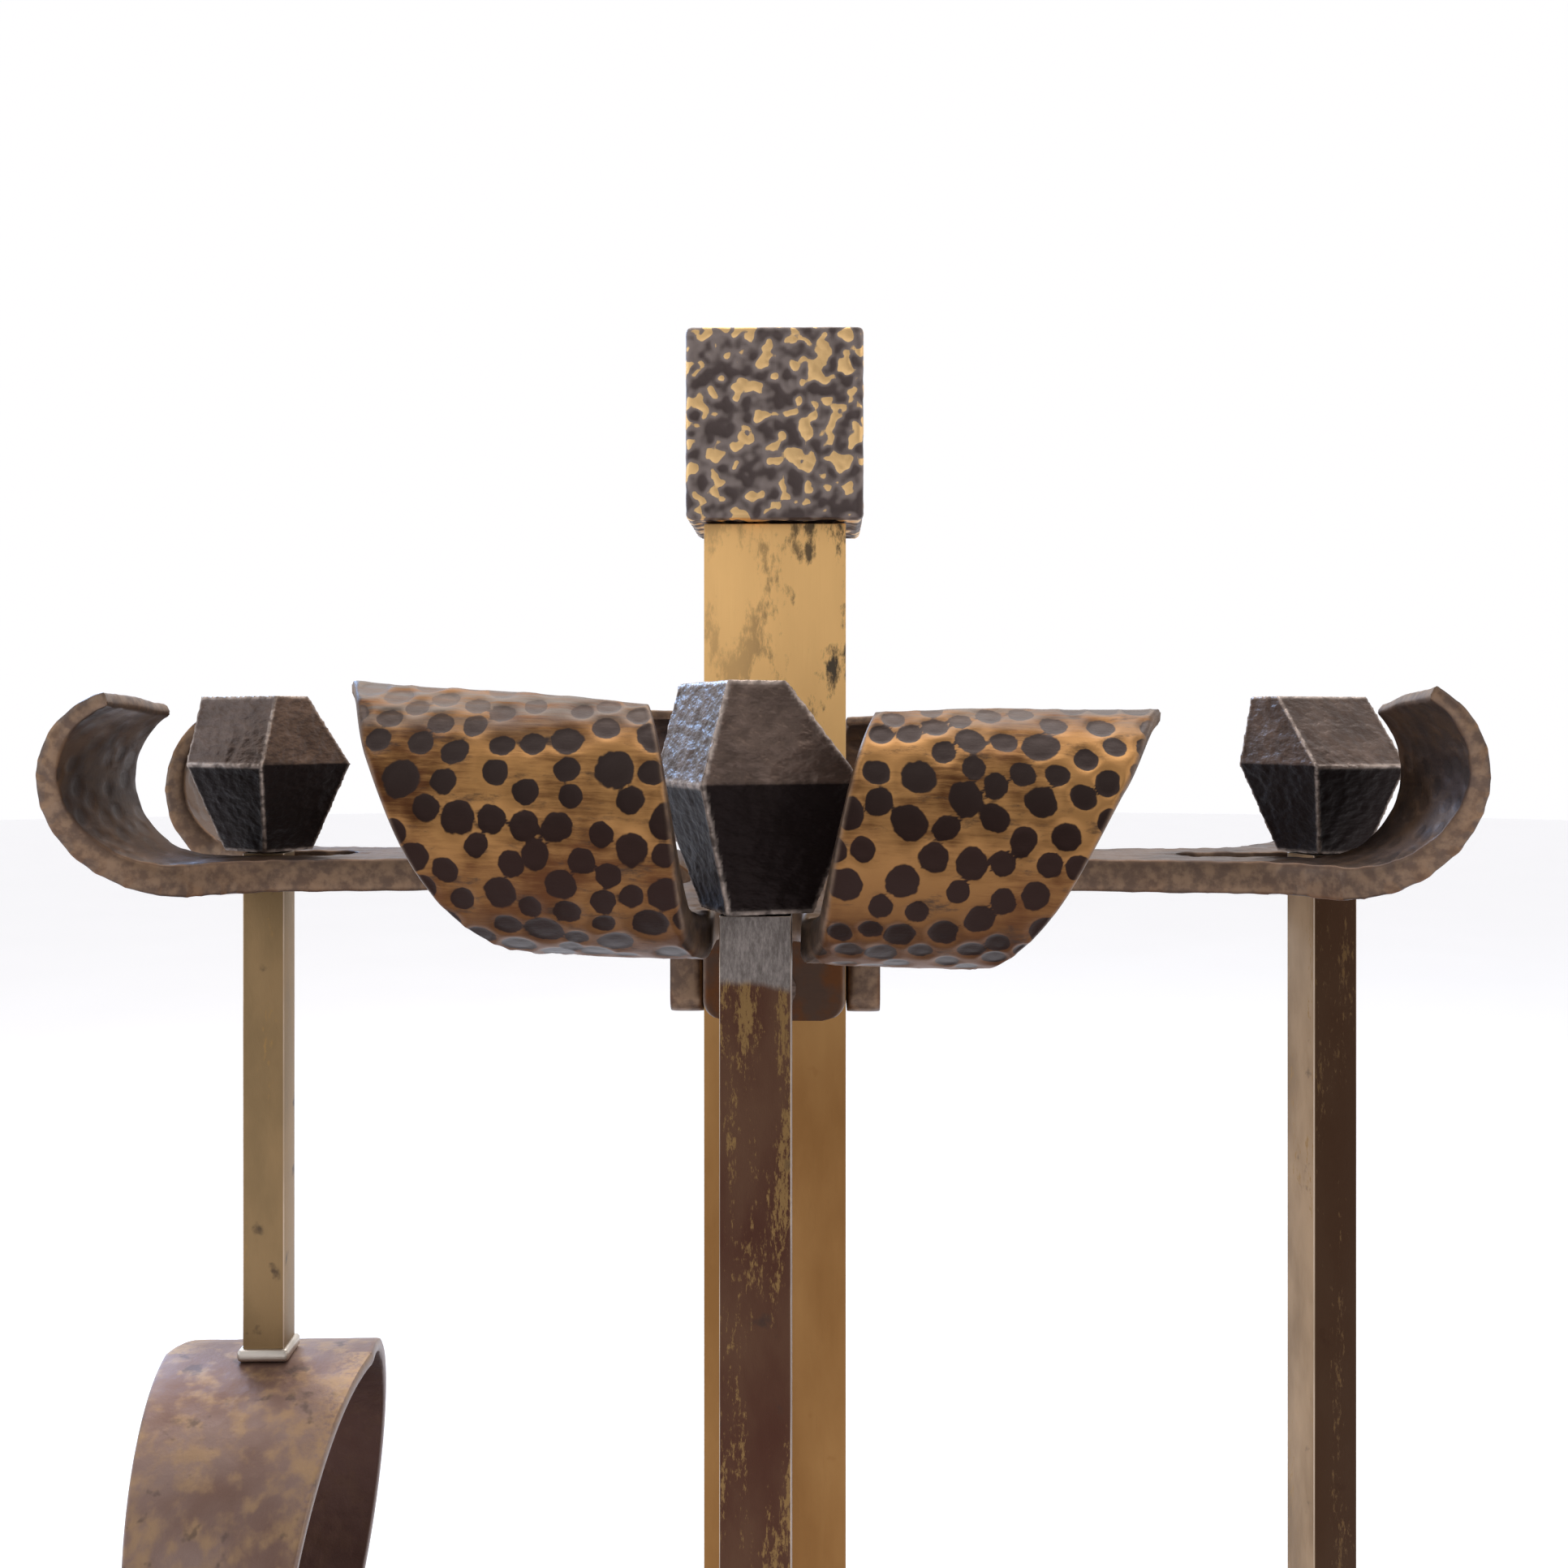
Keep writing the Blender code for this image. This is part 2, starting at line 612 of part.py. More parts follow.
def hang_frame(tool):
    hang = HANGS[tool]
    along = math.radians(ARMS[hang.arm].turn)
    seat = (hang.out * math.cos(along), hang.out * math.sin(along), ARM_TOP)
    return empty(f"{tool}_frame", seat, ARMS[hang.arm].turn + hang.turn)


# The tools

def build_poker():
    frame = hang_frame("poker")
    build_knob("poker", frame)
    straight_length = POKER_LENGTH - POKER_POINT
    bar = build_bar("poker", BAR, straight_length, frame)
    point = tapered_box("poker_point", (POKER_TIP, POKER_TIP, POKER_POINT), (BAR, BAR),
                        (0, 0, -straight_length - POKER_POINT / 2 + SEAT_GAP - GAP))
    overlap = box("poker_point_root", (BAR, BAR, 0.004), (0, 0, -straight_length))
    join(bar, overlap, point)
    build_hook(frame)


def build_hook(frame):
    """A tapered horn that leaves the bar's side, sweeps down and turns up to its tip."""
    steps = 18
    root_y = BAR / 2 + GAP
    curve = bpy.data.curves.new("hook_line", "CURVE")
    curve.dimensions = "3D"
    curve.bevel_depth = HOOK_THICKNESS
    curve.bevel_resolution = 2
    curve.use_fill_caps = True
    spline = curve.splines.new("POLY")
    spline.points.add(steps + 1)
    spline.points[0].co = (0, root_y, -HOOK_DROP, 1)
    for i in range(steps + 1):
        angle = math.radians(HOOK_SWEEP) * i / steps
        out = root_y + 0.004 + HOOK_RADIUS * math.sin(angle)
        down = HOOK_DROP + HOOK_RADIUS * (1 - math.cos(angle)) * 0.8
        spline.points[i + 1].co = (0, out, -down, 1)
        spline.points[i + 1].radius = 1.0 - 0.75 * i / steps
    hook = bpy.data.objects.new("poker_hook", curve)
    bpy.context.scene.collection.objects.link(hook)
    place(hook, BAR_BRONZE, frame)


def build_shovel():
    frame = hang_frame("shovel")
    build_knob("shovel", frame)
    bar = build_bar("shovel", BAR, SHOVEL_BAR_LENGTH, frame)
    bm = bmesh.new()
    bmesh.ops.create_cube(bm, size=1.0)
    bmesh.ops.scale(bm, vec=(PAN_DEPTH, PAN_WIDTH, PAN_LENGTH), verts=bm.verts)
    for v in bm.verts:
        if v.co.z > 0:
            v.co.y *= PAN_TOP_WIDTH / PAN_WIDTH
    back_edges = [e for e in bm.edges if all(v.co.x > 0 for v in e.verts)]
    upper = [e for e in bm.edges if all(v.co.z > 0 for v in e.verts)]
    upright = [e for e in upper if abs(e.verts[0].co.y - e.verts[1].co.y) < 1e-6]
    open_faces = [f for f in bm.faces if f.normal.x < -0.9 or f.normal.z < -0.9]
    bmesh.ops.delete(bm, geom=open_faces, context="FACES_ONLY")
    kept = {e for e in back_edges + upright if e.is_valid and len(e.link_faces) == 2}
    bmesh.ops.bevel(bm, geom=list(kept), offset=PAN_CORNER, segments=4, profile=0.5,
                    affect="EDGES", material=-1)
    back = BAR / 2 + GAP + PAN_SHEET
    pan = object_of("shovel_pan", bm)
    pan.location = (back - PAN_DEPTH / 2, 0, -PAN_TOP - PAN_LENGTH / 2)
    place(pan, BAR_BRONZE, frame)
    shell = pan.modifiers.new("sheet", "SOLIDIFY")
    shell.thickness = PAN_SHEET
    shell.offset = -1.0
    shell.use_even_offset = True
    notch = BAR + 2 * GAP
    cut(pan, box("pan_notch", (notch, notch, 0.03), (0, 0, -PAN_TOP)))
    for level, below in (("upper", 0.016), ("lower", 0.046)):
        height = -PAN_TOP - below
        hole = RIVET[0] + GAP
        cut(bar, rod(f"shovel_bar_hole_{level}", hole, (-0.02, 0, height), (0.02, 0, height), 12))
        cut(pan, rod(f"shovel_pan_hole_{level}", hole, (0.0, 0, height), (0.02, 0, height), 12))
        rivet(f"shovel_rivet_{level}", RIVET, (-BAR / 2 - GAP, 0, height), (back + GAP, 0, height),
              DARK_BRONZE, frame)


def build_brush():
    frame = hang_frame("brush")
    build_knob("brush", frame)
    bar = build_bar("brush", BAR, BRUSH_BAR_LENGTH, frame)
    depth, width, height = FERRULE
    top = -BRUSH_BAR_LENGTH + SEAT_GAP - 2 * GAP
    stud = rod("brush_stud", TENON_RADIUS, (0, 0, top + 0.02), (0, 0, top - FERRULE_WALL), 16)
    join(bar, stud)
    ferrule = box("brush_ferrule", FERRULE, (0, 0, top - height / 2))
    place(ferrule, DARK_BRONZE, frame)
    bevel(ferrule, 0.0015)
    inner = (depth - 2 * FERRULE_WALL, width - 2 * FERRULE_WALL)
    roof = 2 * FERRULE_WALL
    cut(ferrule, box("ferrule_bore", (*inner, height), (0, 0, top - roof - height / 2)),
        rod("ferrule_socket", TENON_RADIUS + GAP, (0, 0, top + 0.01), (0, 0, top - height / 2), 16))
    block_height = height - roof - 2 * GAP
    block_size = (inner[0] - 2 * GAP, inner[1] - 2 * GAP, block_height)
    block = place(box("brush_block", block_size, (0, 0, top - roof - GAP - block_height / 2)), WOOD, frame)
    bottom = top - height - GAP
    bristles = tapered_box("brush_bristles", (depth * BRISTLE_FLARE, width * BRISTLE_FLARE, BRISTLE_LENGTH),
                           block_size[:2], (0, 0, bottom - BRISTLE_LENGTH / 2))
    place(bristles, BRISTLE, frame)
    for side, y in (("left", PIN_SPACING / 2), ("right", -PIN_SPACING / 2)):
        start, end = (-depth / 2 - GAP, y, top - height / 2), (depth / 2 + GAP, y, top - height / 2)
        for piece in (ferrule, block):
            ends = ((-0.03, y, start[2]), (0.03, y, start[2]))
            cut(piece, rod(f"{piece.name}_hole_{side}", PIN[0] + GAP, *ends, 12))
        rivet(f"brush_pin_{side}", PIN, start, end, BAR_BRONZE, frame)


def bow_lengths():
    """Distances along the bow from the crown: the ends of the ellipse, the return bend and the tail."""
    radius = (BOW_DEPTH + BOW_RISE) / 2
    ellipse = radius * math.radians(BOW_TURN)
    lean = bow_lean()
    returned = ellipse + BOW_RETURN * lean
    return ellipse, returned, returned + BOW_TAIL


def bow_lean():
    """The inward lean of the strap where the ellipse ends."""
    angle = math.radians(BOW_TURN)
    return math.atan2(-BOW_DEPTH * math.cos(angle), BOW_RISE * math.sin(angle))


def bow_path(s):
    """The bow's middle line from the crown, as (across, up) with the crown's middle at (0, 0)."""
    radius = (BOW_DEPTH + BOW_RISE) / 2
    ellipse, returned, _ = bow_lengths()
    angle = min(s, ellipse) / radius
    point = (BOW_DEPTH * math.sin(angle), -BOW_RISE * (1 - math.cos(angle)))
    along = Vector((BOW_DEPTH * math.cos(angle), -BOW_RISE * math.sin(angle))).normalized()
    if s > ellipse:
        lean = bow_lean()
        turned = lean - min(s - ellipse, BOW_RETURN * lean) / BOW_RETURN
        point = (point[0] - BOW_RETURN * (math.cos(turned) - math.cos(lean)),
                 point[1] - BOW_RETURN * (math.sin(lean) - math.sin(turned)))
        along = (-math.sin(turned), -math.cos(turned))
    if s > returned:
        point = straight(point, (0.0, -1.0), s - returned)
    return point, inner_normal(along), BOW_SHEET


def bow_half_width(s):
    _, returned, _ = bow_lengths()
    return BOW_HALF + (BOW_TAIL_HALF - BOW_HALF) * min(s / returned, 1.0)


def leg_path(s):
    """A leg's middle line from its upper end: straight down, then curving inward to the claw's tip."""
    bow_end = bow_path(bow_lengths()[1])[0]
    across = bow_end[0] - BOW_SHEET / 2 - GAP - LEG_THICKNESS / 2
    down = min(s, LEG_LENGTH)
    point, along, thickness = (across, bow_end[1] - GAP - down), (0.0, -1.0), LEG_THICKNESS
    if s > LEG_LENGTH:
        angle = (s - LEG_LENGTH) / CLAW_RADIUS
        point = (across - CLAW_RADIUS * (1 - math.cos(angle)), point[1] - CLAW_RADIUS * math.sin(angle))
        along = (-math.sin(angle), -math.cos(angle))
        thickness += (CLAW_TIP - LEG_THICKNESS) * min(angle / math.radians(CLAW_TURN), 1.0)
    return point, inner_normal(along), thickness


def leg_rows():
    claw = CLAW_RADIUS * math.radians(CLAW_TURN)
    rows = [(0.0, LEG_HALF, None), (LEG_LENGTH - 0.03, LEG_HALF, None)]
    for i in range(9):
        share = i / 8
        rows.append((LEG_LENGTH + claw * share, LEG_HALF + (CLAW_HALF - LEG_HALF) * share ** 0.8, None))
    return rows


def stand_up(obj, side):
    """Turns a strap, built in its out-up plane, so that out lies along the side's Y."""
    obj.data.transform(Matrix.Rotation(math.radians(90 * side), 4, "Z"))
    return obj


def build_tongs():
    """Spring tongs. The bow is one strap, parted beside the crown where its two halves flex."""
    frame = hang_frame("tongs")
    build_knob("tongs", frame)
    bar = build_bar("tongs", TONGS_BAR, CROWN_DROP - 2 * GAP, frame)
    crown_height = -CROWN_DROP - BOW_SHEET / 2
    rows = [(CROWN_HALF * i / 2, bow_half_width(CROWN_HALF * abs(i) / 2), None) for i in range(-2, 3)]

    def crown_path(s):
        (across, up), (n_across, n_up), sheet = bow_path(abs(s))
        side = math.copysign(1, s)
        return (side * across, up), (side * n_across, n_up), sheet

    crown = stand_up(strap("tongs_crown", rows, crown_path), 1)
    crown.data.transform(Matrix.Translation((0, 0, crown_height)))
    place(crown, BAR_BRONZE, frame)
    hole = (0, 0, -CROWN_DROP + 0.002), (0, 0, -CROWN_DROP - BOW_SHEET - 0.002)
    cut(crown, rod("crown_hole", RIVET[0] + GAP, *hole, 12))
    end = -CROWN_DROP - BOW_SHEET - GAP
    join(bar, rod("tongs_bar_stub", RIVET[0], (0, 0, -CROWN_DROP + 0.01), (0, 0, end - RIVET[2] / 2), 12),
         rod("tongs_bar_head", RIVET[1], (0, 0, end), (0, 0, end - RIVET[2]), 16,
             RIVET[1] * HEAD_TOP_SHARE))
    build_tongs_leg("front", 1, frame, crown_height)
    build_tongs_leg("back", -1, frame, crown_height)


def build_tongs_leg(name, side, frame, crown_height):
    """Half the bow with its leg, on an empty at the line where the half flexes."""
    start = CROWN_HALF + GAP
    (across, up), _, _ = bow_path(start - GAP / 2)
    pivot = Vector((0, side * across, crown_height + up))
    flex = empty(f"tongs_flex_{name}", pivot, 0.0, frame)
    ellipse, returned, end = bow_lengths()
    distances = [start + (ellipse - start) * i / 16 for i in range(17)]
    distances += [ellipse + (returned - ellipse) * i / 4 for i in range(1, 5)] + [end]
    bow = strap(f"tongs_bow_{name}", [(s, bow_half_width(s), None) for s in distances], bow_path)
    leg = strap(f"tongs_leg_{name}", leg_rows(), leg_path)
    for piece in (bow, leg):
        stand_up(piece, side)
        piece.data.transform(Matrix.Translation(Vector((0, 0, crown_height)) - pivot))
        place(piece, BAR_BRONZE, flex)
    middle, top = leg_path(0.0)[0]
    inside = side * (middle - LEG_THICKNESS / 2 - GAP) - pivot.y
    outside = side * (middle + LEG_THICKNESS / 2 + 2 * GAP + BOW_SHEET) - pivot.y
    for level, below in zip(("upper", "lower"), LEG_RIVETS):
        height = crown_height + top - below - pivot.z
        ends = (0, inside - side * 0.01, height), (0, outside + side * 0.01, height)
        cut(bow, rod(f"bow_{name}_hole_{level}", RIVET[0] + GAP, *ends, 12))
        cut(leg, rod(f"leg_{name}_hole_{level}", RIVET[0] + GAP, *ends, 12))
        ends = ((0, inside, height), (0, outside, height))
        rivet(f"tongs_rivet_{name}_{level}", RIVET, *ends, DARK_BRONZE, flex)


def shade(obj):
    if obj.type == "MESH":
        obj.data.shade_smooth()
        obj.data.set_sharp_from_angle(angle=math.radians(35))


def main():
    build_base()
    build_fixing()
    build_post()
    build_cap()
    for side in ARMS:
        build_arm(side)
    build_poker()
    build_shovel()
    build_brush()
    build_tongs()
    for obj in PARTS.objects:
        shade(obj)


main()
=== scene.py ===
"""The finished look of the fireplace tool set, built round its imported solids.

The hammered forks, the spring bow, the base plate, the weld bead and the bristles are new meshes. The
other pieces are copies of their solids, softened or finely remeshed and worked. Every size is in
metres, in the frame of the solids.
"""

import json
import logging
import math
import random
from dataclasses import dataclass, field
from enum import Enum
from typing import Callable, Protocol

import bmesh
import bpy
import numpy as np
from mathutils import Matrix, Vector, noise

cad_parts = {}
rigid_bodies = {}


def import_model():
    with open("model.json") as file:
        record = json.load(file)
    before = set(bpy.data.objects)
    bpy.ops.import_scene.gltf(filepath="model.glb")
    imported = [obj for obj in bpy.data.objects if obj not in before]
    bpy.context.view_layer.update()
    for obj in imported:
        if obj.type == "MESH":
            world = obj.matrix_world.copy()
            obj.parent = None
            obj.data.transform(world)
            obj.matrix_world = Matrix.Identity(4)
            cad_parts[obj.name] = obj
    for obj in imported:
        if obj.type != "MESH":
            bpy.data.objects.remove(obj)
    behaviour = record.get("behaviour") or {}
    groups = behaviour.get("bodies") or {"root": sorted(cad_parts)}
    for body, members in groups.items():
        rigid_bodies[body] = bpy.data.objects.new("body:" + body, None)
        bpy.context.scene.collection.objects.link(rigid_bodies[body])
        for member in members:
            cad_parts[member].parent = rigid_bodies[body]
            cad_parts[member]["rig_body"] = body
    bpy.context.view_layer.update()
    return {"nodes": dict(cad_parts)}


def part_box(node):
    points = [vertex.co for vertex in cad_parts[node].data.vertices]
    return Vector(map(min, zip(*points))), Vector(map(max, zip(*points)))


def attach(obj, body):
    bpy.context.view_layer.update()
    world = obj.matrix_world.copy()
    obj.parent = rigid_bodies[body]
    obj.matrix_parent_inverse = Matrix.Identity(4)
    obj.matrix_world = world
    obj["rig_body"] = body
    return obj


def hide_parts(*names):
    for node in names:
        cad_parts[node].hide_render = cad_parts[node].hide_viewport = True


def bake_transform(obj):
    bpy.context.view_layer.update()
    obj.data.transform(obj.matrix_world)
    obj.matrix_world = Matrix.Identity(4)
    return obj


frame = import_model()
LOG = logging.getLogger("tool_set")
NOWHERE = 9.0       # a place past every piece

Colour = tuple[float, float, float]
Points = np.ndarray
Carve = Callable[[Vector], tuple[float, float]]


class Side(Enum):
    """The four sides of the post, with the turn of the arm there in degrees."""

    FRONT = -90.0
    RIGHT = 0.0
    BACK = 90.0
    LEFT = 180.0

    @property
    def word(self) -> str:
        """The side's name as the solids' names have it."""
        return self.name.lower()


# Shader expressions

class Wire:
    """An output socket that takes part in arithmetic."""

    def __init__(self, graph: "Graph", socket: bpy.types.NodeSocket) -> None:
        """Keeps the socket and the graph that new nodes go to."""
        self.graph = graph
        self.socket = socket

    def _with(self, operation: str, left: "Wire | float", right: "Wire | float") -> "Wire":
        """Adds one Math node."""
        return self.graph.node("ShaderNodeMath", {"operation": operation}, {0: left, 1: right})

    def __add__(self, other: "Wire | float") -> "Wire":
        """self + other."""
        return self._with("ADD", self, other)

    def __sub__(self, other: "Wire | float") -> "Wire":
        """self - other."""
        return self._with("SUBTRACT", self, other)

    def __mul__(self, other: "Wire | float") -> "Wire":
        """self * other."""
        return self._with("MULTIPLY", self, other)

    def __rsub__(self, other: float) -> "Wire":
        """other - self."""
        return self._with("SUBTRACT", other, self)

    __radd__ = __add__
    __rmul__ = __mul__

    def eased(self, low: float, high: float, at_low: "Wire | float", at_high: "Wire | float") -> "Wire":
        """Goes smoothly from at_low, where this is low, to at_high, where it is high."""
        values = {"Value": self, "From Min": low, "From Max": high, "To Min": at_low, "To Max": at_high}
        return self.graph.node("ShaderNodeMapRange", {"interpolation_type": "SMOOTHSTEP"}, values)

    def step(self, low: float, high: float) -> "Wire":
        """Rises smoothly from 0 at low to 1 at high, or falls where low is the larger."""
        return self.eased(low, high, 0.0, 1.0) if low < high else self.eased(high, low, 1.0, 0.0)


class Graph:
    """A node tree whose nodes all come from one method."""

    def __init__(self, tree: bpy.types.NodeTree) -> None:
        """Keeps the tree."""
        self.tree = tree

    def node(self, kind: str, settings: dict | None = None, inputs: dict | None = None,
             output: str | int = 0) -> Wire:
        """Adds a node.

        Args:
            kind: the node's type.
            settings: its properties, set before its inputs.
            inputs: a number, vector or Wire for each socket, by name or index.
            output: the output that is returned.

        Returns:
            The chosen output.
        """
        made = self.tree.nodes.new(kind)
        for key, value in (settings or {}).items():
            setattr(made, key, value)
        for key, value in (inputs or {}).items():
            self.feed(made.inputs[key], value)
        return Wire(self, made.outputs[output])

    def feed(self, socket: bpy.types.NodeSocket, value: "Wire | float | tuple[float, ...]") -> None:
        """Links a Wire to a socket, or gives the socket a fixed value.

        Args:
            socket: an input.
            value: what it gets.
        """
        if isinstance(value, Wire):
            self.tree.links.new(value.socket, socket)
        else:
            socket.default_value = value


class Shader(Graph):
    """A material under construction."""

    def __init__(self, name: str) -> None:
        """Starts a material with its Principled BSDF.

        Args:
            name: the material's name.
        """
        self.material = bpy.data.materials.new(name)
        self.material.use_nodes = True
        super().__init__(self.material.node_tree)
        self.surface = self.tree.nodes["Principled BSDF"]

    def place(self, scale: Colour = (1.0, 1.0, 1.0)) -> Wire:
        """The point in the object's frame, stretched by scale."""
        where = self.node("ShaderNodeTexCoord", output="Object")
        return self.node("ShaderNodeMapping", {}, {"Vector": where, "Scale": scale})

    def attribute(self, name: str) -> Wire:
        """A number that the mesh holds for each point."""
        return self.node("ShaderNodeAttribute", {"attribute_name": name}, output="Fac")

    def flat(self, scale: Colour) -> Wire:
        """The point's place in the strap's flat pattern, stretched by scale."""
        where = self.node("ShaderNodeAttribute", {"attribute_name": "flat"}, output="Vector")
        return self.node("ShaderNodeMapping", {}, {"Vector": where, "Scale": scale})

    def clouds(self, where: Wire, scale: float, detail: float = 3.0, rough: float = 0.55) -> Wire:
        """Noise from 0 to 1 round 0.5."""
        return self.node("ShaderNodeTexNoise", {}, {"Vector": where, "Scale": scale, "Detail": detail,
                                                    "Roughness": rough})

    def coordinate(self, axis: str) -> Wire:
        """The point's X, Y or Z in the object's frame."""
        where = self.node("ShaderNodeTexCoord", output="Object")
        return self.node("ShaderNodeSeparateXYZ", {}, {"Vector": where}, output=axis)

    def mix(self, share: Wire | float, low: "Wire | Colour", high: "Wire | Colour") -> Wire:
        """A colour between low and high."""
        low, high = (end if isinstance(end, Wire) else (*end, 1.0) for end in (low, high))
        return self.node("ShaderNodeMix", {"data_type": "RGBA"}, {0: share, 6: low, 7: high}, output=2)

    def bump(self, height: Wire, distance: float) -> Wire:
        """A normal from a height in units of distance."""
        return self.node("ShaderNodeBump", {}, {"Height": height, "Distance": distance}, output="Normal")

    def finish(self, colour: Wire, roughness: Wire | float, metallic: Wire | float,
               normal: Wire | None = None) -> bpy.types.Material:
        """Connects what changes over the surface and returns the material.

        Args:
            colour: the base colour.
            roughness: from 0, polished, to 1.
            metallic: from 0 to 1, bare metal.
            normal: the bumped normal.

        Returns:
            The material.
        """
        for key, value in (("Base Color", colour), ("Roughness", roughness), ("Metallic", metallic),
                           ("Normal", normal)):
            if value is not None:
                self.feed(self.surface.inputs[key], value)
        return self.material


# Finishes

class Finish(Protocol):
    """What every finish offers."""

    @property
    def name(self) -> str:
        """The material's name."""

    def material(self) -> bpy.types.Material:
        """Makes the material."""


@dataclass(frozen=True)
class HammeredBronze:
    """Golden bronze whose round hammer marks keep their dark patina."""

    name: str = "hammered_bronze"
    gold: Colour = (0.43, 0.222, 0.078)
    brown: Colour = (0.095, 0.036, 0.014)
    mark: Colour = (0.022, 0.0095, 0.007)
    grey_mark: Colour = (0.048, 0.034, 0.030)
    smoke: Colour = (0.045, 0.032, 0.027)
    ash: Colour = (0.125, 0.105, 0.09)
    umber: Colour = (0.062, 0.038, 0.028)
    inside: Colour = (0.070, 0.048, 0.040)
    inside_worn: Colour = (0.13, 0.078, 0.05)
    edge: Colour = (0.24, 0.155, 0.10)
    edge_dark: Colour = (0.125, 0.082, 0.060)

    def material(self) -> bpy.types.Material:
        """Colours the marks, the ground between them, the inside of the curl and the strap's edges.

        Returns:
            The material.
        """
        s = Shader(self.name)
        rise = s.attribute("rise")
        streaks = s.clouds(s.flat((110.0, 1100.0, 110.0)), 1.0, 5.0, 0.72)
        clouds = s.clouds(s.place(), 62.0, 4.0)
        fine = s.clouds(s.place(), 900.0, 3.0)
        worn = (streaks * 0.45 + clouds * 1.0 - 0.22).step(0.30, 0.60)
        # Gold follows height: less towards the bottom of the curl, and less near its top under the painted
        # sky sheen.
        worn = worn * (rise.step(0.02, 0.78) * 0.9 + 0.1) * (1.0 - rise.step(0.74, 0.95) * 0.7)
        ground = s.mix(worn, self.brown, self.gold)
        smoke = s.clouds(s.flat((150.0, 420.0, 150.0)), 1.0, 5.0, 0.68).step(0.55, 0.72)
        ground = s.mix(smoke * 0.75, ground, self.smoke)
        # Painted sky sheen: the top of the curl greys in blotches, a painted reflection of the ceiling.
        grey = s.clouds(s.flat((60.0, 700.0, 60.0)), 1.0, 4.0, 0.6).step(0.32, 0.60) * rise.step(0.78, 0.95)
        ground = s.mix(grey * 0.9, ground, self.ash)
        wobble = s.clouds(s.place(), 380.0, 2.0)
        mark = (s.attribute("mark") + fine * 0.05 + wobble * 0.4 - 0.225).step(0.26, 0.345)
        marked = s.mix(rise.step(0.45, 0.85) * 0.8 + clouds * 0.3 - 0.12, self.mark, self.grey_mark)
        # Near the top of the curl the marks fade under the painted sky sheen.
        colour = s.mix(mark * (1.0 - rise.step(0.84, 1.0) * 0.45), ground, marked)
        plain = s.mix(s.clouds(s.place(), 150.0, 5.0).step(0.40, 0.66), self.umber, self.brown)
        colour = s.mix((1.0 - s.attribute("fork")) * 0.92, colour, plain)
        dull = s.mix(clouds.step(0.35, 0.65), self.inside, self.inside_worn)
        colour = s.mix(s.attribute("upper") * 0.9, colour, dull)
        mottled = s.mix(s.clouds(s.place(), 380.0, 4.0).step(0.36, 0.66), self.edge_dark, self.edge)
        colour = s.mix(s.attribute("edge") * 0.85, colour, mottled)
        roughness = 0.40 - mark * 0.05 + streaks * 0.14 + smoke * 0.08
        normal = s.bump(streaks * 0.5 + fine * 0.6, 0.00006)
        return s.finish(colour, roughness, 0.93 - mark * 0.08, normal)


@dataclass(frozen=True)
class DarkForged:
    """Dark brown patina over planished metal, painted shade underneath, and rubbed light along the arrises.
    """

    name: str = "dark_forged"
    dark: Colour = (0.082, 0.056, 0.045)
    warm: Colour = (0.165, 0.115, 0.092)
    soot: Colour = (0.0085, 0.0045, 0.0045)
    rubbed: Colour = (0.55, 0.45, 0.39)
    grain: float = 400.0
    depth: float = 0.0005

    def material(self) -> bpy.types.Material:
        """Two browns in clouds, painted shade on what faces down, pits and light arrises.

        Returns:
            The material.
        """
        s = Shader(self.name)
        clouds = s.clouds(s.place(), 120.0, 4.0)
        forged = s.clouds(s.place((1.0, 1.0, 1.9)), self.grain, 2.0, 0.45)
        pits = s.clouds(s.place(), self.grain * 3.1, 2.0)
        colour = s.mix(clouds.step(0.30, 0.72), self.dark, self.warm)
        colour = s.mix(forged.step(0.60, 0.40) * 0.45, colour, self.dark)
        # Painted shade: what faces down turns near black, and its rubbed arrises dim there.
        under = s.attribute("under")
        colour = s.mix(under.step(0.0, 0.25) * 0.96, colour, self.soot)
        rubbed = s.attribute("edge") * (forged.step(0.36, 0.56) * 0.6 + 0.4)
        colour = s.mix(rubbed * (0.9 - under * 0.35), colour, self.rubbed)
        roughness = 0.30 + clouds * 0.14 + pits * 0.12 + under * 0.36
        normal = s.bump(forged + pits * 0.06, self.depth)
        return s.finish(colour, roughness, 0.86, normal)


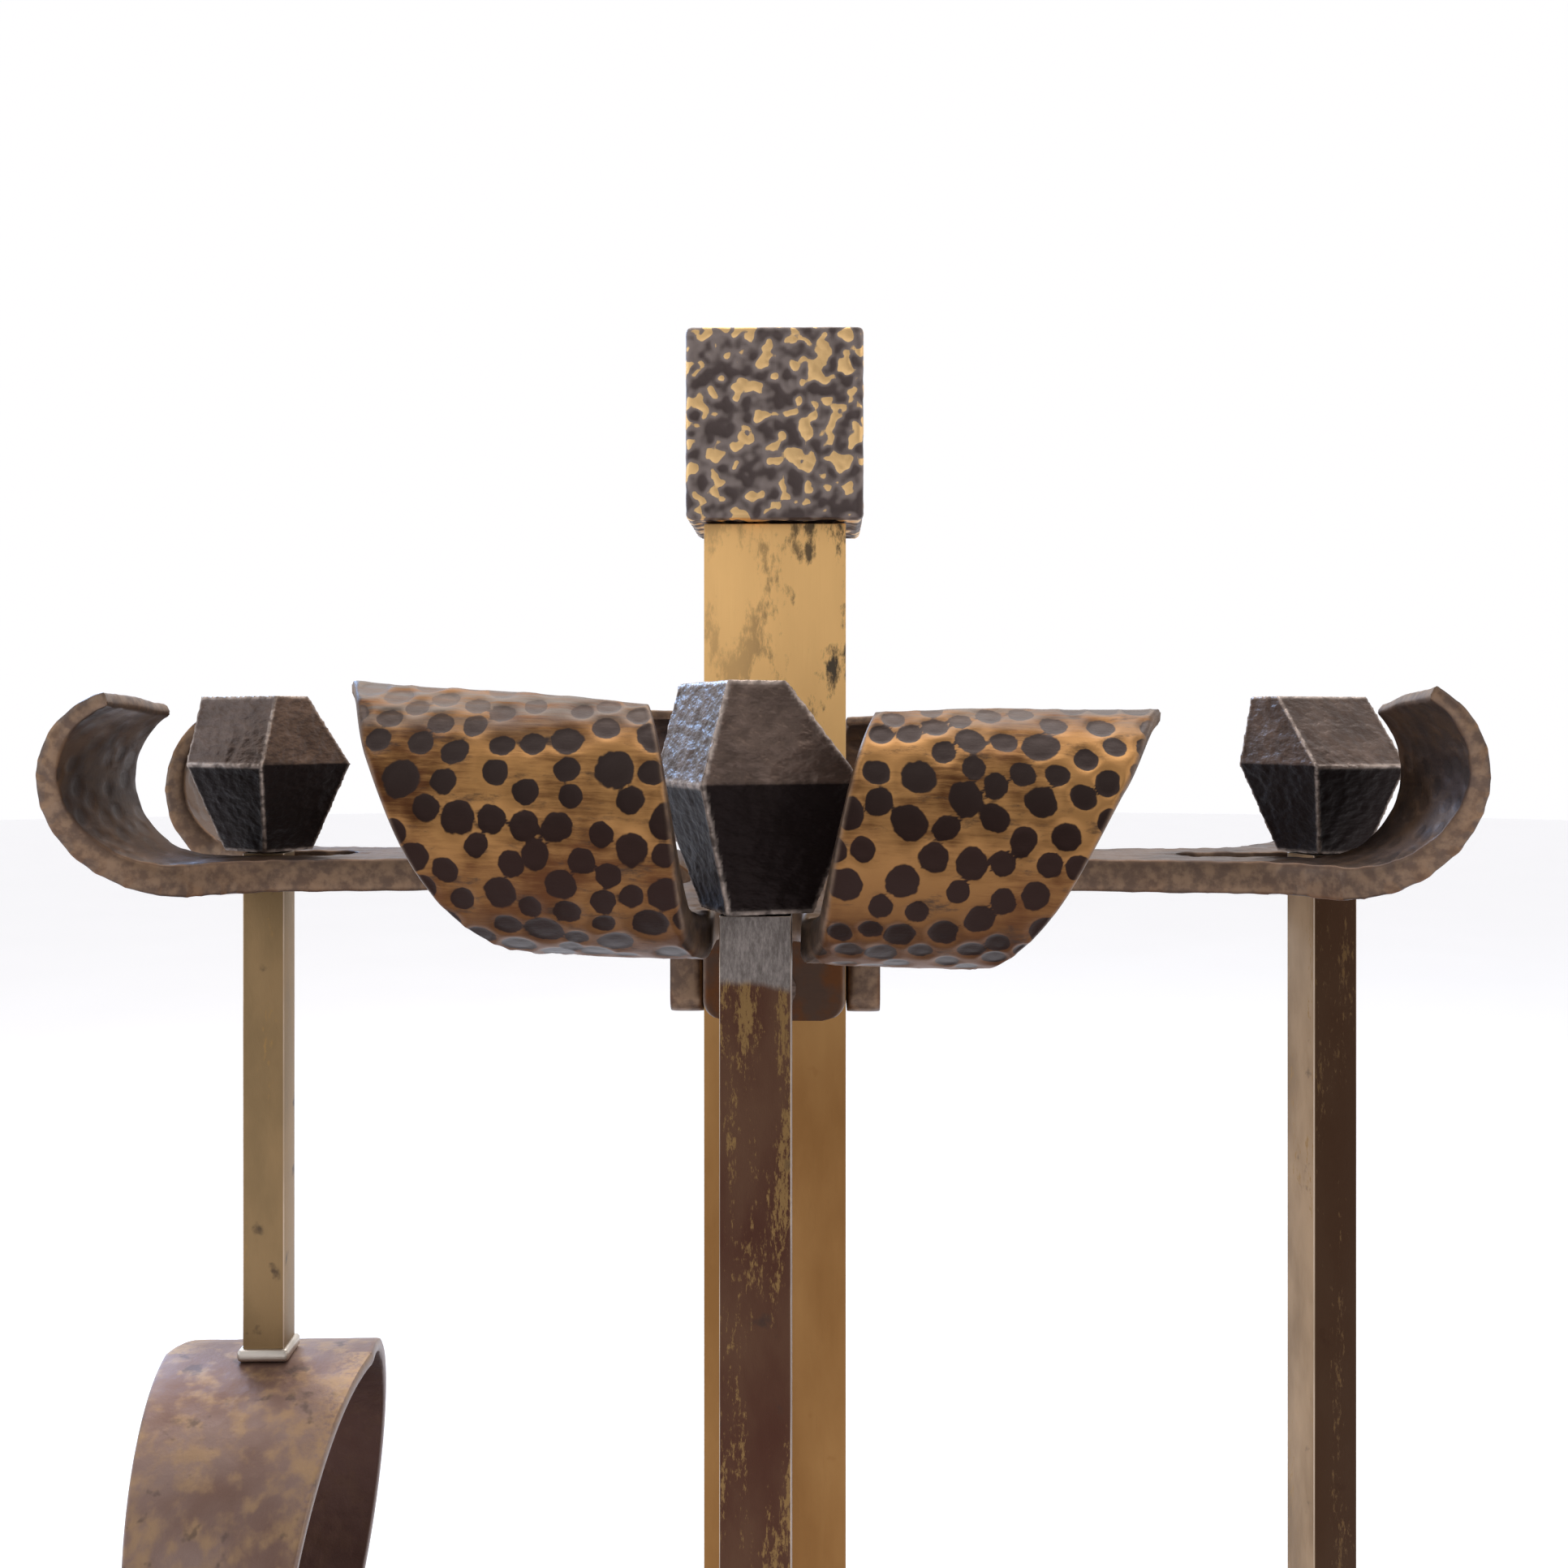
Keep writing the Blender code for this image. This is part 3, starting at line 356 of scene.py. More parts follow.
@dataclass(frozen=True)
class AgedBrass:
    """Golden brass with dark smudges high on the post, browner below the arms, partly from painted shade."""

    name: str = "aged_brass"
    gold: Colour = (1.0, 0.61, 0.24)
    amber: Colour = (0.25, 0.118, 0.035)
    smudge: Colour = (0.07, 0.05, 0.03)
    arris: Colour = (0.30, 0.19, 0.09)
    smudges_from: float = 0.600

    def material(self) -> bpy.types.Material:
        """Gold that browns downwards, drawn upright, with smudges under the cap, both partly painted shade.

        Returns:
            The material.
        """
        s = Shader(self.name)
        height = s.coordinate("Z")
        clouds = s.clouds(s.place((1.0, 1.0, 0.35)), 70.0, 4.0)
        drawn = s.clouds(s.place((1.0, 1.0, 0.06)), 900.0, 3.0)
        # Browner below the arms: partly the brass's own tone, partly painted shade under the arms.
        colour = s.mix(height.step(0.54, 0.655) * 0.85 + clouds * 0.3 - 0.12, self.amber, self.gold)
        stains = s.clouds(s.place((1.0, 1.0, 0.4)), 150.0, 6.0, 0.68).step(0.49, 0.60)
        # The smudges grow stronger on the post's right side: painted shade.
        right = s.coordinate("X").step(-0.012, 0.012)
        stains_and_shade = stains * height.step(self.smudges_from, self.smudges_from + 0.03) * (right * 0.7 + 0.3)
        colour = s.mix(stains_and_shade, colour, self.smudge)
        spots = s.clouds(s.place(), 210.0, 3.0).step(0.68, 0.76)
        colour = s.mix(spots * 0.45, colour, self.amber)
        colour = s.mix(s.attribute("edge") * 0.4, colour, self.arris)
        roughness = 0.36 + clouds * 0.10 + stains_and_shade * 0.2
        return s.finish(colour, roughness, 0.82 - stains_and_shade * 0.3, s.bump(drawn, 0.00004))


@dataclass(frozen=True)
class WornBar:
    """Patinated bar worn to gold in upright flecks, with light arrises."""

    name: str
    patina: Colour
    second: Colour
    gold: Colour = (0.30, 0.18, 0.07)
    flecks: float = 0.5
    arris: Colour = (0.66, 0.53, 0.42)
    bare_from: float = NOWHERE
    fineness: float = 1.0
    # Past this X the side of the bar turns to the dark colour below: painted shade.
    dark_past: float = NOWHERE
    dark: Colour = (0.040, 0.016, 0.007)
    soot: Colour = (0.045, 0.032, 0.028)
    bare_dark: Colour = (0.13, 0.11, 0.10)
    bare_light: Colour = (0.30, 0.26, 0.24)

    def material(self) -> bpy.types.Material:
        """Patina in clouds, gold flecks in loose columns, light arrises and a bare grey neck.

        Returns:
            The material.
        """
        s = Shader(self.name)
        clouds = s.clouds(s.place((1.0, 1.0, 0.4)), 80.0, 4.0)
        upright = s.clouds(s.place((1.0, 1.0, 0.30)), 1300.0 * self.fineness, 5.0, 0.72)
        columns = s.clouds(s.place((1.0, 1.0, 0.12)), 210.0 * self.fineness, 2.0)
        colour = s.mix(clouds.step(0.32, 0.68), self.patina, self.second)
        near = s.coordinate("Z").step(self.bare_from - 0.03, self.bare_from)
        worn = upright * 0.62 + columns * 0.55 + near * 0.02
        worn = worn.step(0.78 - 0.24 * self.flecks, 0.86 - 0.24 * self.flecks)
        colour = s.mix(worn, colour, self.gold)
        soot = s.clouds(s.place(), 130.0, 4.0).step(0.64, 0.74)
        colour = s.mix(soot * 0.7, colour, self.soot)
        # Painted shade on the side of the bar past that X.
        past = s.coordinate("X").step(self.dark_past, self.dark_past + 0.0006)
        colour = s.mix(past * (0.95 - worn * 0.25), colour, self.dark)
        bare = s.coordinate("Z") + clouds * 0.006
        bare = bare.step(self.bare_from, self.bare_from + 0.0015)
        colour = s.mix(bare, colour, s.mix(upright.step(0.3, 0.75), self.bare_dark, self.bare_light))
        colour = s.mix(s.attribute("edge") * (columns.step(0.35, 0.6) * 0.45 + 0.5), colour, self.arris)
        roughness = 0.44 - worn * 0.08 + clouds * 0.14 - bare * 0.1
        normal = s.bump(upright * 0.6 + clouds * 0.8, 0.00009)
        return s.finish(colour, roughness, 0.90, normal)


@dataclass(frozen=True)
class BlotchedStrap:
    """Brown-mauve patina rubbed to gold in blotches and along one edge, maroon inside the bow."""

    name: str = "bow_patina"
    brown: Colour = (0.180, 0.105, 0.080)
    mauve: Colour = (0.265, 0.180, 0.150)
    gold: Colour = (0.40, 0.255, 0.135)
    inside: Colour = (0.060, 0.026, 0.019)
    soot: Colour = (0.085, 0.060, 0.052)
    edge: Colour = (0.30, 0.25, 0.235)

    def material(self) -> bpy.types.Material:
        """Soft blotches outside, dark inside, a thin grey edge.

        Returns:
            The material.
        """
        s = Shader(self.name)
        low = s.clouds(s.place(), 34.0, 3.0)
        blotch = s.clouds(s.place((1.0, 1.0, 0.8)), 250.0, 3.0, 0.5)
        fine = s.clouds(s.place(), 900.0, 3.0)
        colour = s.mix(low.step(0.35, 0.62), self.brown, self.mauve)
        colour = s.mix((blotch + low * 0.45).step(0.66, 0.95) * 0.65, colour, self.gold)
        dark = s.clouds(s.place(), 190.0, 3.0).step(0.60, 0.70)
        colour = s.mix(dark * 0.6, colour, self.soot)
        rim = s.attribute("rim")
        colour = s.mix(rim * fine.step(0.3, 0.6) * 0.8, colour, self.gold)
        colour = s.mix((1.0 - s.attribute("upper")) * 0.93, colour, self.inside)
        colour = s.mix(s.attribute("edge") * 0.7, colour, self.edge)
        return s.finish(colour, 0.44 + low * 0.12, 0.80, s.bump(fine, 0.00008))


@dataclass(frozen=True)
class FleckedCap:
    """Grey-brown cast texture whose ridges are rubbed to gold."""

    name: str = "flecked_cap"
    ground: Colour = (0.235, 0.190, 0.172)
    deep: Colour = (0.082, 0.060, 0.055)
    gold: Colour = (0.80, 0.52, 0.235)

    def material(self) -> bpy.types.Material:
        """Colours by the relief, with gold only on ridges in rubbed patches.

        Returns:
            The material.
        """
        s = Shader(self.name)
        relief = s.attribute("relief")
        patches = s.clouds(s.place(), 80.0, 3.0)
        fine = s.clouds(s.place(), 1500.0, 2.0)
        colour = s.mix(relief.step(0.18, 0.66), self.deep, self.ground)
        rubbed = (relief + patches * 0.75 + fine * 0.06 - 0.405).step(0.635, 0.70)
        colour = s.mix(rubbed, colour, self.gold)
        roughness = 0.46 - rubbed * 0.12 + fine * 0.1
        return s.finish(colour, roughness, 0.74 + rubbed * 0.2, s.bump(fine, 0.00004))


@dataclass(frozen=True)
class GrainedWood:
    """Plain hardwood with its grain along Y."""

    name: str = "grained_wood"
    dark: Colour = (0.20, 0.105, 0.05)
    light: Colour = (0.40, 0.235, 0.12)

    def material(self) -> bpy.types.Material:
        """Fine grain lines between two browns.

        Returns:
            The material.
        """
        s = Shader(self.name)
        grain = s.clouds(s.place((1.0, 0.08, 1.0)), 420.0, 5.0, 0.6)
        colour = s.mix(grain.step(0.35, 0.68), self.dark, self.light)
        return s.finish(colour, 0.55 + grain * 0.15, 0.0, s.bump(grain, 0.00012))


@dataclass(frozen=True)
class Bristle:
    """Dark natural fibre with lighter tips."""

    name: str = "bristle_fibre"
    dark: Colour = (0.030, 0.020, 0.014)
    light: Colour = (0.085, 0.055, 0.035)
    tips: Colour = (0.20, 0.14, 0.09)

    def material(self) -> bpy.types.Material:
        """Varies from strand to strand and lightens to the tips.

        Returns:
            The material.
        """
        s = Shader(self.name)
        strand = s.attribute("strand")
        tip = s.attribute("tip")
        colour = s.mix(strand, self.dark, self.light)
        colour = s.mix(tip * tip * 0.5, colour, self.tips)
        return s.finish(colour, 0.55 + strand * 0.15, 0.0)


@dataclass(frozen=True)
class PlainSteel:
    """Turned steel of the hidden fixings."""

    name: str = "plain_steel"
    dark: Colour = (0.34, 0.34, 0.35)
    light: Colour = (0.52, 0.52, 0.53)

    def material(self) -> bpy.types.Material:
        """Grey with faint clouds and turning marks.

        Returns:
            The material.
        """
        s = Shader(self.name)
        clouds = s.clouds(s.place(), 160.0, 4.0)
        turned = s.clouds(s.place((0.05, 0.05, 1.0)), 1400.0, 2.0)
        colour = s.mix(clouds.step(0.3, 0.7), self.dark, self.light)
        return s.finish(colour, 0.30 + clouds * 0.15, 1.0, s.bump(turned, 0.00004))


POST_BRASS = AgedBrass()
FORK_BRONZE = HammeredBronze()
DARK = DarkForged()
PLATE_DARK = DarkForged("dark_plate", grain=260.0, depth=0.0004)
CAP_METAL = FleckedCap()
POKER_BAR = WornBar("poker_bar_patina", (0.072, 0.028, 0.018), (0.115, 0.058, 0.034), (0.23, 0.135, 0.052),
                    flecks=0.64, bare_from=0.5925, fineness=1.7)
TONGS_BAR = WornBar("tongs_bar_patina", (0.22, 0.145, 0.07), (0.30, 0.195, 0.095), flecks=0.4)
# The shovel bar's right facet gets painted shade.
SHOVEL_BAR = WornBar("shovel_bar_patina", (0.24, 0.155, 0.085), (0.42, 0.29, 0.175), flecks=0.5,
                     dark_past=0.1156)
BRUSH_BAR = WornBar("brush_bar_patina", (0.15, 0.085, 0.05), (0.22, 0.135, 0.065), flecks=0.5)
BOW_BROWN = BlotchedStrap()
TOOL_BROWN = WornBar("leg_patina", (0.17, 0.10, 0.075), (0.25, 0.17, 0.125), (0.45, 0.29, 0.13), 0.55)
WELD = PlainSteel("pale_weld", (0.50, 0.44, 0.38), (0.66, 0.60, 0.53))
STEEL = PlainSteel()
WOOD = GrainedWood()
FIBRE = Bristle()
_MADE: dict[str, bpy.types.Material] = {}


def dress(obj: bpy.types.Object, finish: Finish) -> None:
    """Gives an object one finish, making its material at first use.

    Args:
        obj: the object.
        finish: what it gets.
    """
    if finish.name not in _MADE:
        _MADE[finish.name] = finish.material()
    obj.data.materials.clear()
    obj.data.materials.append(_MADE[finish.name])


# Mesh helpers

def smoothstep(value: Points | float) -> Points | float:
    """Rises from 0 at 0 to 1 at 1."""
    share = np.clip(value, 0.0, 1.0)
    return share * share * (3 - 2 * share)


def points_of(mesh: bpy.types.Mesh) -> Points:
    """The mesh's points as an array.

    Args:
        mesh: the mesh.

    Returns:
        One row for each point.
    """
    found = np.empty(len(mesh.vertices) * 3, np.float32)
    mesh.vertices.foreach_get("co", found)
    return found.reshape(-1, 3).astype(np.float64)


def normals_of(mesh: bpy.types.Mesh) -> Points:
    """The mesh's point normals as an array.

    Args:
        mesh: the mesh.

    Returns:
        One row for each point.
    """
    found = np.empty(len(mesh.vertices) * 3, np.float32)
    mesh.vertex_normals.foreach_get("vector", found)
    return found.reshape(-1, 3).astype(np.float64)


def values_of(mesh: bpy.types.Mesh, name: str) -> Points:
    """A number that the mesh holds for each of its points.

    Args:
        mesh: the mesh.
        name: the attribute's name.

    Returns:
        One number for each point.
    """
    found = np.empty(len(mesh.vertices), np.float32)
    mesh.attributes[name].data.foreach_get("value", found)
    return found.astype(np.float64)


def store(mesh: bpy.types.Mesh, name: str, values: Points) -> None:
    """Keeps a number or a vector for each point of the mesh.

    Args:
        mesh: the mesh.
        name: the attribute's name.
        values: a number or a row of three for each point.
    """
    kind, key = ("FLOAT", "value") if values.ndim == 1 else ("FLOAT_VECTOR", "vector")
    attribute = mesh.attributes.get(name) or mesh.attributes.new(name, kind, "POINT")
    attribute.data.foreach_set(key, values.astype(np.float32).ravel())


def object_from(name: str, bm: bmesh.types.BMesh) -> bpy.types.Object:
    """Makes a linked, smooth object of a bmesh and frees the bmesh.

    Args:
        name: the object's name.
        bm: its mesh.

    Returns:
        The object.
    """
    mesh = bpy.data.meshes.new(name)
    bm.to_mesh(mesh)
    bm.free()
    obj = bpy.data.objects.new(name, mesh)
    bpy.context.scene.collection.objects.link(obj)
    mesh.shade_smooth()
    return obj


def merged(node: str) -> bmesh.types.BMesh:
    """The node's solid as a bmesh of whole flat faces.

    Args:
        node: the solid's name.

    Returns:
        A new bmesh.
    """
    bm = bmesh.new()
    bm.from_mesh(frame["nodes"][node].data)
    bmesh.ops.remove_doubles(bm, verts=bm.verts, dist=2e-6)
    bmesh.ops.dissolve_limit(bm, angle_limit=math.radians(1.5), verts=bm.verts, edges=bm.edges)
    return bm


def sharp_edges(bm: bmesh.types.BMesh, angle: float = 35.0) -> list[bmesh.types.BMEdge]:
    """The edges whose faces meet at more than angle degrees."""
    return [e for e in bm.edges if len(e.link_faces) == 2 and e.calc_face_angle(0.0) > math.radians(angle)]


def softened(node: str, width: float, finish: Finish, angle: float = 35.0) -> bpy.types.Object:
    """A copy of a solid with rounded arrises, which replaces it.

    Args:
        node: the solid's name.
        width: how far a rounding reaches.
        finish: the finish that the copy gets.
        angle: the least angle in degrees of an edge that is rounded.

    Returns:
        The copy, riding on the solid's body.
    """
    bm = merged(node)
    made = bmesh.ops.bevel(bm, geom=sharp_edges(bm, angle), offset=width, segments=4, profile=0.5,
                           affect="EDGES", clamp_overlap=True, material=-1)
    rounding = set(made["faces"])
    worn = [float(all(f in rounding for f in v.link_faces)) for v in bm.verts]
    bmesh.ops.triangulate(bm, faces=[f for f in bm.faces if len(f.verts) > 4])
    obj = object_from(f"{node}_finished", bm)
    store(obj.data, "edge", np.array(worn))
    obj.data.set_sharp_from_angle(angle=math.radians(32))
    return stand_for(obj, node, finish)


def stand_for(obj: bpy.types.Object, node: str, finish: Finish) -> bpy.types.Object:
    """Lets an object replace a solid: it rides on its body, and the solid is hidden.

    Args:
        obj: the object.
        node: the solid's name.
        finish: the finish that the object gets.

    Returns:
        The object.
    """
    dress(obj, finish)
    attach(obj, frame["nodes"][node]["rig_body"])
    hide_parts(node)
    report(obj)
    return obj


def report(obj: bpy.types.Object) -> None:
    """Logs a finished piece."""
    LOG.info("%s: %d faces", obj.name, len(obj.data.polygons))


def edge_distance(points: Points, edges: list[tuple[Vector, Vector]]) -> Points:
    """The distance from each point to the nearest of some straight edges.

    Args:
        points: one row for each point.
        edges: the two ends of each edge.

    Returns:
        One distance for each point.
    """
    nearest = np.full(len(points), 1.0)
    for start, end in edges:
        origin = np.array(start)
        along = np.array(end) - origin
        share = np.clip((points - origin) @ along / (along @ along), 0.0, 1.0)
        nearest = np.minimum(nearest, np.linalg.norm(points - origin - share[:, None] * along, axis=1))
    return nearest


@dataclass(frozen=True)
class Forging:
    """How a piece's surface is worked."""

    voxel: float        # the size of its mesh's faces
    facets: float       # hammer facets in a metre
    depth: float        # how deep they go
    arris: float        # how far the rubbed arrises reach


COLLAR_WORK = Forging(0.0007, 260.0, 0.0003, 0.0014)
FOOT_WORK = Forging(0.0006, 300.0, 0.00025, 0.001)
KNOB_WORK = Forging(0.0005, 330.0, 0.00036, 0.0007)
HOOK_WORK = Forging(0.0006, 240.0, 0.00015, 0.0004)
FERRULE_WORK = Forging(0.0006, 300.0, 0.0002, 0.0009)
RIVET_WORK = Forging(0.0003, 500.0, 0.0001, 0.0004)
CAP_WORK = Forging(0.00042, 360.0, 0.0007, 0.001)
PLATE_FACETS = 95.0


def forged(node: str, work: Forging, finish: Finish, carve: Carve | None = None) -> bpy.types.Object:
    """A fine copy of a solid whose surface is worked in geometry, which replaces it.

    Args:
        node: the solid's name.
        work: the size of the copy's faces and of its facets.
        finish: the finish that the copy gets.
        carve: gives for a point how far the surface goes in there, and its relief from 0 to 1. Without it
            the surface is planished.

    Returns:
        The copy, riding on the solid's body.
    """
    carve = carve or planished(work.facets, work.depth)
    bm = merged(node)
    edges = [(e.verts[0].co.copy(), e.verts[1].co.copy()) for e in sharp_edges(bm, 20.0)]
    bmesh.ops.triangulate(bm, faces=bm.faces)
    rough = object_from(f"{node}_rough", bm)
    remesh = rough.modifiers.new("even", "REMESH")
    remesh.mode = "VOXEL"
    remesh.voxel_size = work.voxel
    graph = bpy.context.evaluated_depsgraph_get()
    mesh = bpy.data.meshes.new_from_object(rough.evaluated_get(graph))
    bpy.data.objects.remove(rough)
    mesh.name = f"{node}_finished"
    obj = bpy.data.objects.new(mesh.name, mesh)
    bpy.context.scene.collection.objects.link(obj)
    points, normals = points_of(mesh), normals_of(mesh)
    worked = np.array([carve(Vector(p)) for p in points])
    from_edge = edge_distance(points, edges)
    points -= normals * (worked[:, 0] * (0.25 + 0.75 * smoothstep(from_edge / 0.0016)))[:, None]
    mesh.vertices.foreach_set("co", points.astype(np.float32).ravel())
    mesh.update()
    mesh.shade_smooth()
    store(mesh, "relief", worked[:, 1])
    store(mesh, "edge", 1.0 - smoothstep(from_edge / work.arris - 0.25))
    # How far the surface faces down: the dark finish paints shade there.
    store(mesh, "under", np.clip(-normals[:, 2] * 1.6, 0.0, 1.0))
    return stand_for(obj, node, finish)


def planished(facets: float, depth: float) -> Carve:
    """Shallow overlapping hammer facets.

    Args:
        facets: how many there are in a metre.
        depth: how deep they go.

    Returns:
        The function that forged() works a surface with.
    """
    def carve(point: Vector) -> tuple[float, float]:
        """Cells give the facets, and noise waves them.

        Args:
            point: a point of the surface.

        Returns:
            How far it goes in, and its relief from 0 to 1.
        """
        near = noise.voronoi(point * facets)[0][0]
        wave = noise.noise(point * facets * 0.6) + 0.5 * noise.noise(point * facets * 2.3)
        relief = min(max(near * 0.9 + wave * 0.4, 0.0), 1.0)
        return depth * (1.0 - relief), relief

    return carve


def cast_relief(point: Vector) -> tuple[float, float]:
    """The cap's close pattern of pits between blunt ridges.

    Args:
        point: a point of the surface.

    Returns:
        How far it goes in, and its relief from 0 to 1.
    """
    wide = noise.noise(point * CAP_WORK.facets)
    small = noise.noise(point * 690.0 + Vector((7.0, 3.0, 5.0)))
    relief = min(max(0.5 + 0.80 * wide + 0.32 * small, 0.0), 1.0)
    return CAP_WORK.depth * (1.0 - relief), relief


# Straps: a flat pattern, hammered and bent

VISIBLE = 0.72      # share of a mark's radius that its dark patina fills


@dataclass
class HammerMark:
    """One round mark in a flat pattern."""

    across: float
    along: float
    radius: float
    depth: float
    stretch: float
    lean: float


@dataclass(frozen=True)
class Blows:
    """A round of hammering."""

    tried: int                      # blows that look for room
    radii: tuple[float, float]      # the least and the largest radius
    depth: float                    # the depth of a middling mark
    apart: float = 0.0              # the ground left between two marks


FORK_BLOWS = Blows(9000, (0.0023, 0.0037), 0.00036, 0.0003)
NECK_BLOWS = Blows(500, (0.0026, 0.0042), 0.00016)
TOP_BLOWS = Blows(900, (0.0022, 0.0036), 0.00018)
BOW_BLOWS = Blows(900, (0.002, 0.0034), 0.00009)
MERGING = 0.004     # share of the blows that may run into a neighbour


def strike(rng: random.Random, blows: Blows, span: tuple[float, float],
           width: Callable[[float], float]) -> list[HammerMark]:
    """Fills a strap with marks at random. A mark shrinks to fit between its neighbours, and a few merge.

    Args:
        rng: the source of chance.
        blows: how many blows are tried, and their marks.
        span: the stretch along the strap.
        width: the strap's half width at a distance along it.

    Returns:
        The marks that found room.
    """
    marks: list[HammerMark] = []
    for _ in range(blows.tried):
        along = rng.uniform(*span)
        half = width(along)
        across = rng.uniform(-half, half)
        radius = rng.uniform(*blows.radii)
        ground = blows.apart if rng.random() > MERGING else -2.0 * blows.apart
        for m in marks:
            gap = math.hypot(m.across - across, m.along - along) - ground
            radius = min(radius, gap / VISIBLE - m.radius)
            if radius < blows.radii[0]:
                break
        else:
            marks.append(HammerMark(across, along, radius, blows.depth * rng.uniform(0.75, 1.2),
                                    rng.uniform(1.0, 1.12), rng.uniform(0.0, math.pi)))
    return marks


def struck(flat: Points, marks: list[HammerMark]) -> tuple[Points, Points]:
    """How deep each point of a flat pattern is hammered, and how far it is inside a mark, from 0 to 1.

    Args:
        flat: the points of the pattern.
        marks: the marks in it.

    Returns:
        The depths, and how near each point is to the middle of a mark.
    """
    depth = np.zeros(len(flat))
    inside = np.full(len(flat), -0.5)
    for m in marks:
        dx, dy = flat[:, 0] - m.across, flat[:, 1] - m.along
        c, s = math.cos(m.lean), math.sin(m.lean)
        distance = np.hypot((dx * c + dy * s) / m.stretch, (dy * c - dx * s) * m.stretch ** 0.3) / m.radius
        bowl = 1.0 - distance
        depth = np.maximum(depth, m.depth * smoothstep(bowl * 1.9))
        inside = np.maximum(inside, bowl)
    return depth, inside


def as_drawn(s: Points, side: Points) -> Points:
    """The outline of a strap that keeps to its pattern."""
    return np.zeros(len(s))


@dataclass
class Strap:
    """A strap whose mesh is a fine grid, thickened, hammered and bent along its middle line."""

    rows: Points
    columns: int
    half_width: Callable[[Points], Points]
    half_slot: Callable[[Points], Points]
    slot_from: float
    tip_lead: Callable[[Points, Points], Points]
    path: Callable[[Points], tuple[Points, Points, Points]]
    uneven: Callable[[Points, Points], Points] = as_drawn
    rounding: float = 0.0012
    marks_out: list[HammerMark] = field(default_factory=list)
    marks_in: list[HammerMark] = field(default_factory=list)

    def flat_grid(self) -> bmesh.types.BMesh:
        """The flat pattern, with the slot opened along its middle.

        Returns:
            A grid from -1 to 1, whose Z holds each point's side.
        """
        last = len(self.rows) - 1
        bm = bmesh.new()
        bmesh.ops.create_grid(bm, x_segments=2 * self.columns, y_segments=last, size=1.0)
        first = int(np.searchsorted(self.rows, self.slot_from - 1e-9))
        line = {v: round((v.co.y + 1) / 2 * last) for v in bm.verts if abs(v.co.x) < 1e-6}
        middle = [e for e in bm.edges if all(v in line and line[v] >= first for v in e.verts)]
        bmesh.ops.split_edges(bm, edges=middle)
        for v in bm.verts:
            if abs(v.co.x) < 1e-6:
                sides = {math.copysign(1.0, f.calc_center_median().x) for f in v.link_faces}
                v.co.z = sides.pop() if len(sides) == 1 and v.co.y > -1 + 2 * (first + 0.5) / last else 0.0
            else:
                v.co.z = math.copysign(1.0, v.co.x)
        return bm

    def build(self, name: str) -> bpy.types.Object:
        """Makes the strap in its own plane: X out along it, Y across it and Z up.

        Args:
            name: the object's name.

        Returns:
            The bent strap.
        """
        bm = self.flat_grid()
        last = len(self.rows) - 1
        grid = np.array([v.co for v in bm.verts], float)
        share, side = np.abs(grid[:, 0]), grid[:, 2]
        along = self.rows[np.rint((grid[:, 1] + 1) / 2 * last).astype(int)]
        share = share - 0.10 * np.sin(2 * np.pi * share)
        inner, outer = self.half_slot(along), self.half_width(along) + self.uneven(along, side)
        across = side * (inner + (outer - inner) * share)
        placed = self.tip_lead(along, share)
        to_edge = np.minimum((outer - inner) * (1 - share), self.rows[-1] - along)
        to_slot = np.where(inner > 0, (outer - inner) * share, 1.0)
        for v, x, y in zip(bm.verts, across, placed):
            v.co = (x, y, 0.0)
        bmesh.ops.recalc_face_normals(bm, faces=bm.faces)
        if bm.faces[:][0].normal.z < 0:
            bmesh.ops.reverse_faces(bm, faces=bm.faces)
        keep = [bm.verts.layers.float.new(key) for key in ("along", "to_edge")]
        for v, s, d in zip(bm.verts, along, np.minimum(to_edge, to_slot)):
            v[keep[0]], v[keep[1]] = s, d
        bmesh.ops.solidify(bm, geom=bm.faces[:], thickness=1.0)
        low = min(v.co.z for v in bm.verts)
        for v in bm.verts:
            v.co.z -= low + 0.5
        obj = object_from(name, bm)
        self.shape(obj.data)
        obj.data.set_sharp_from_angle(angle=math.radians(50))
        return obj

    def shape(self, mesh: bpy.types.Mesh) -> None:
        """Hammers the thickened pattern, bends it along the path and stores what its finish reads.

        Args:
            mesh: the flat pattern, 1 thick.
        """
        flat = points_of(mesh)
        to_edge = values_of(mesh, "to_edge")
        upper = flat[:, 2] > 0
        depth_out, mark_out = struck(flat, self.marks_out)
        depth_in, mark_in = struck(flat, self.marks_in)
        depth = np.where(upper, depth_in, depth_out)
        edge = np.clip(to_edge / self.rounding, 0.0, 1.0)
        fullness = 0.42 + 0.58 * np.sqrt(1.0 - (1.0 - edge) ** 2)
        middle, normal, thickness = self.path(flat[:, 1])
        shift = np.sign(flat[:, 2]) * (0.5 * thickness * fullness - depth * edge)
        bent = np.empty_like(flat)
        bent[:, 0] = middle[:, 0] + normal[:, 0] * shift
        bent[:, 1] = flat[:, 0]
        bent[:, 2] = middle[:, 1] + normal[:, 1] * shift
        mesh.vertices.foreach_set("co", bent.astype(np.float32).ravel())
        mesh.update()
        store(mesh, "mark", np.where(upper, mark_in, mark_out))
        store(mesh, "upper", upper.astype(float))
        store(mesh, "rim", smoothstep((flat[:, 0] / np.abs(flat[:, 0]).max() - 0.55) / 0.4))
        store(mesh, "edge", 1.0 - smoothstep(to_edge / (self.rounding * 0.8)))
        store(mesh, "flat", np.column_stack([flat[:, 0], flat[:, 1], flat[:, 2] * 0.01]))


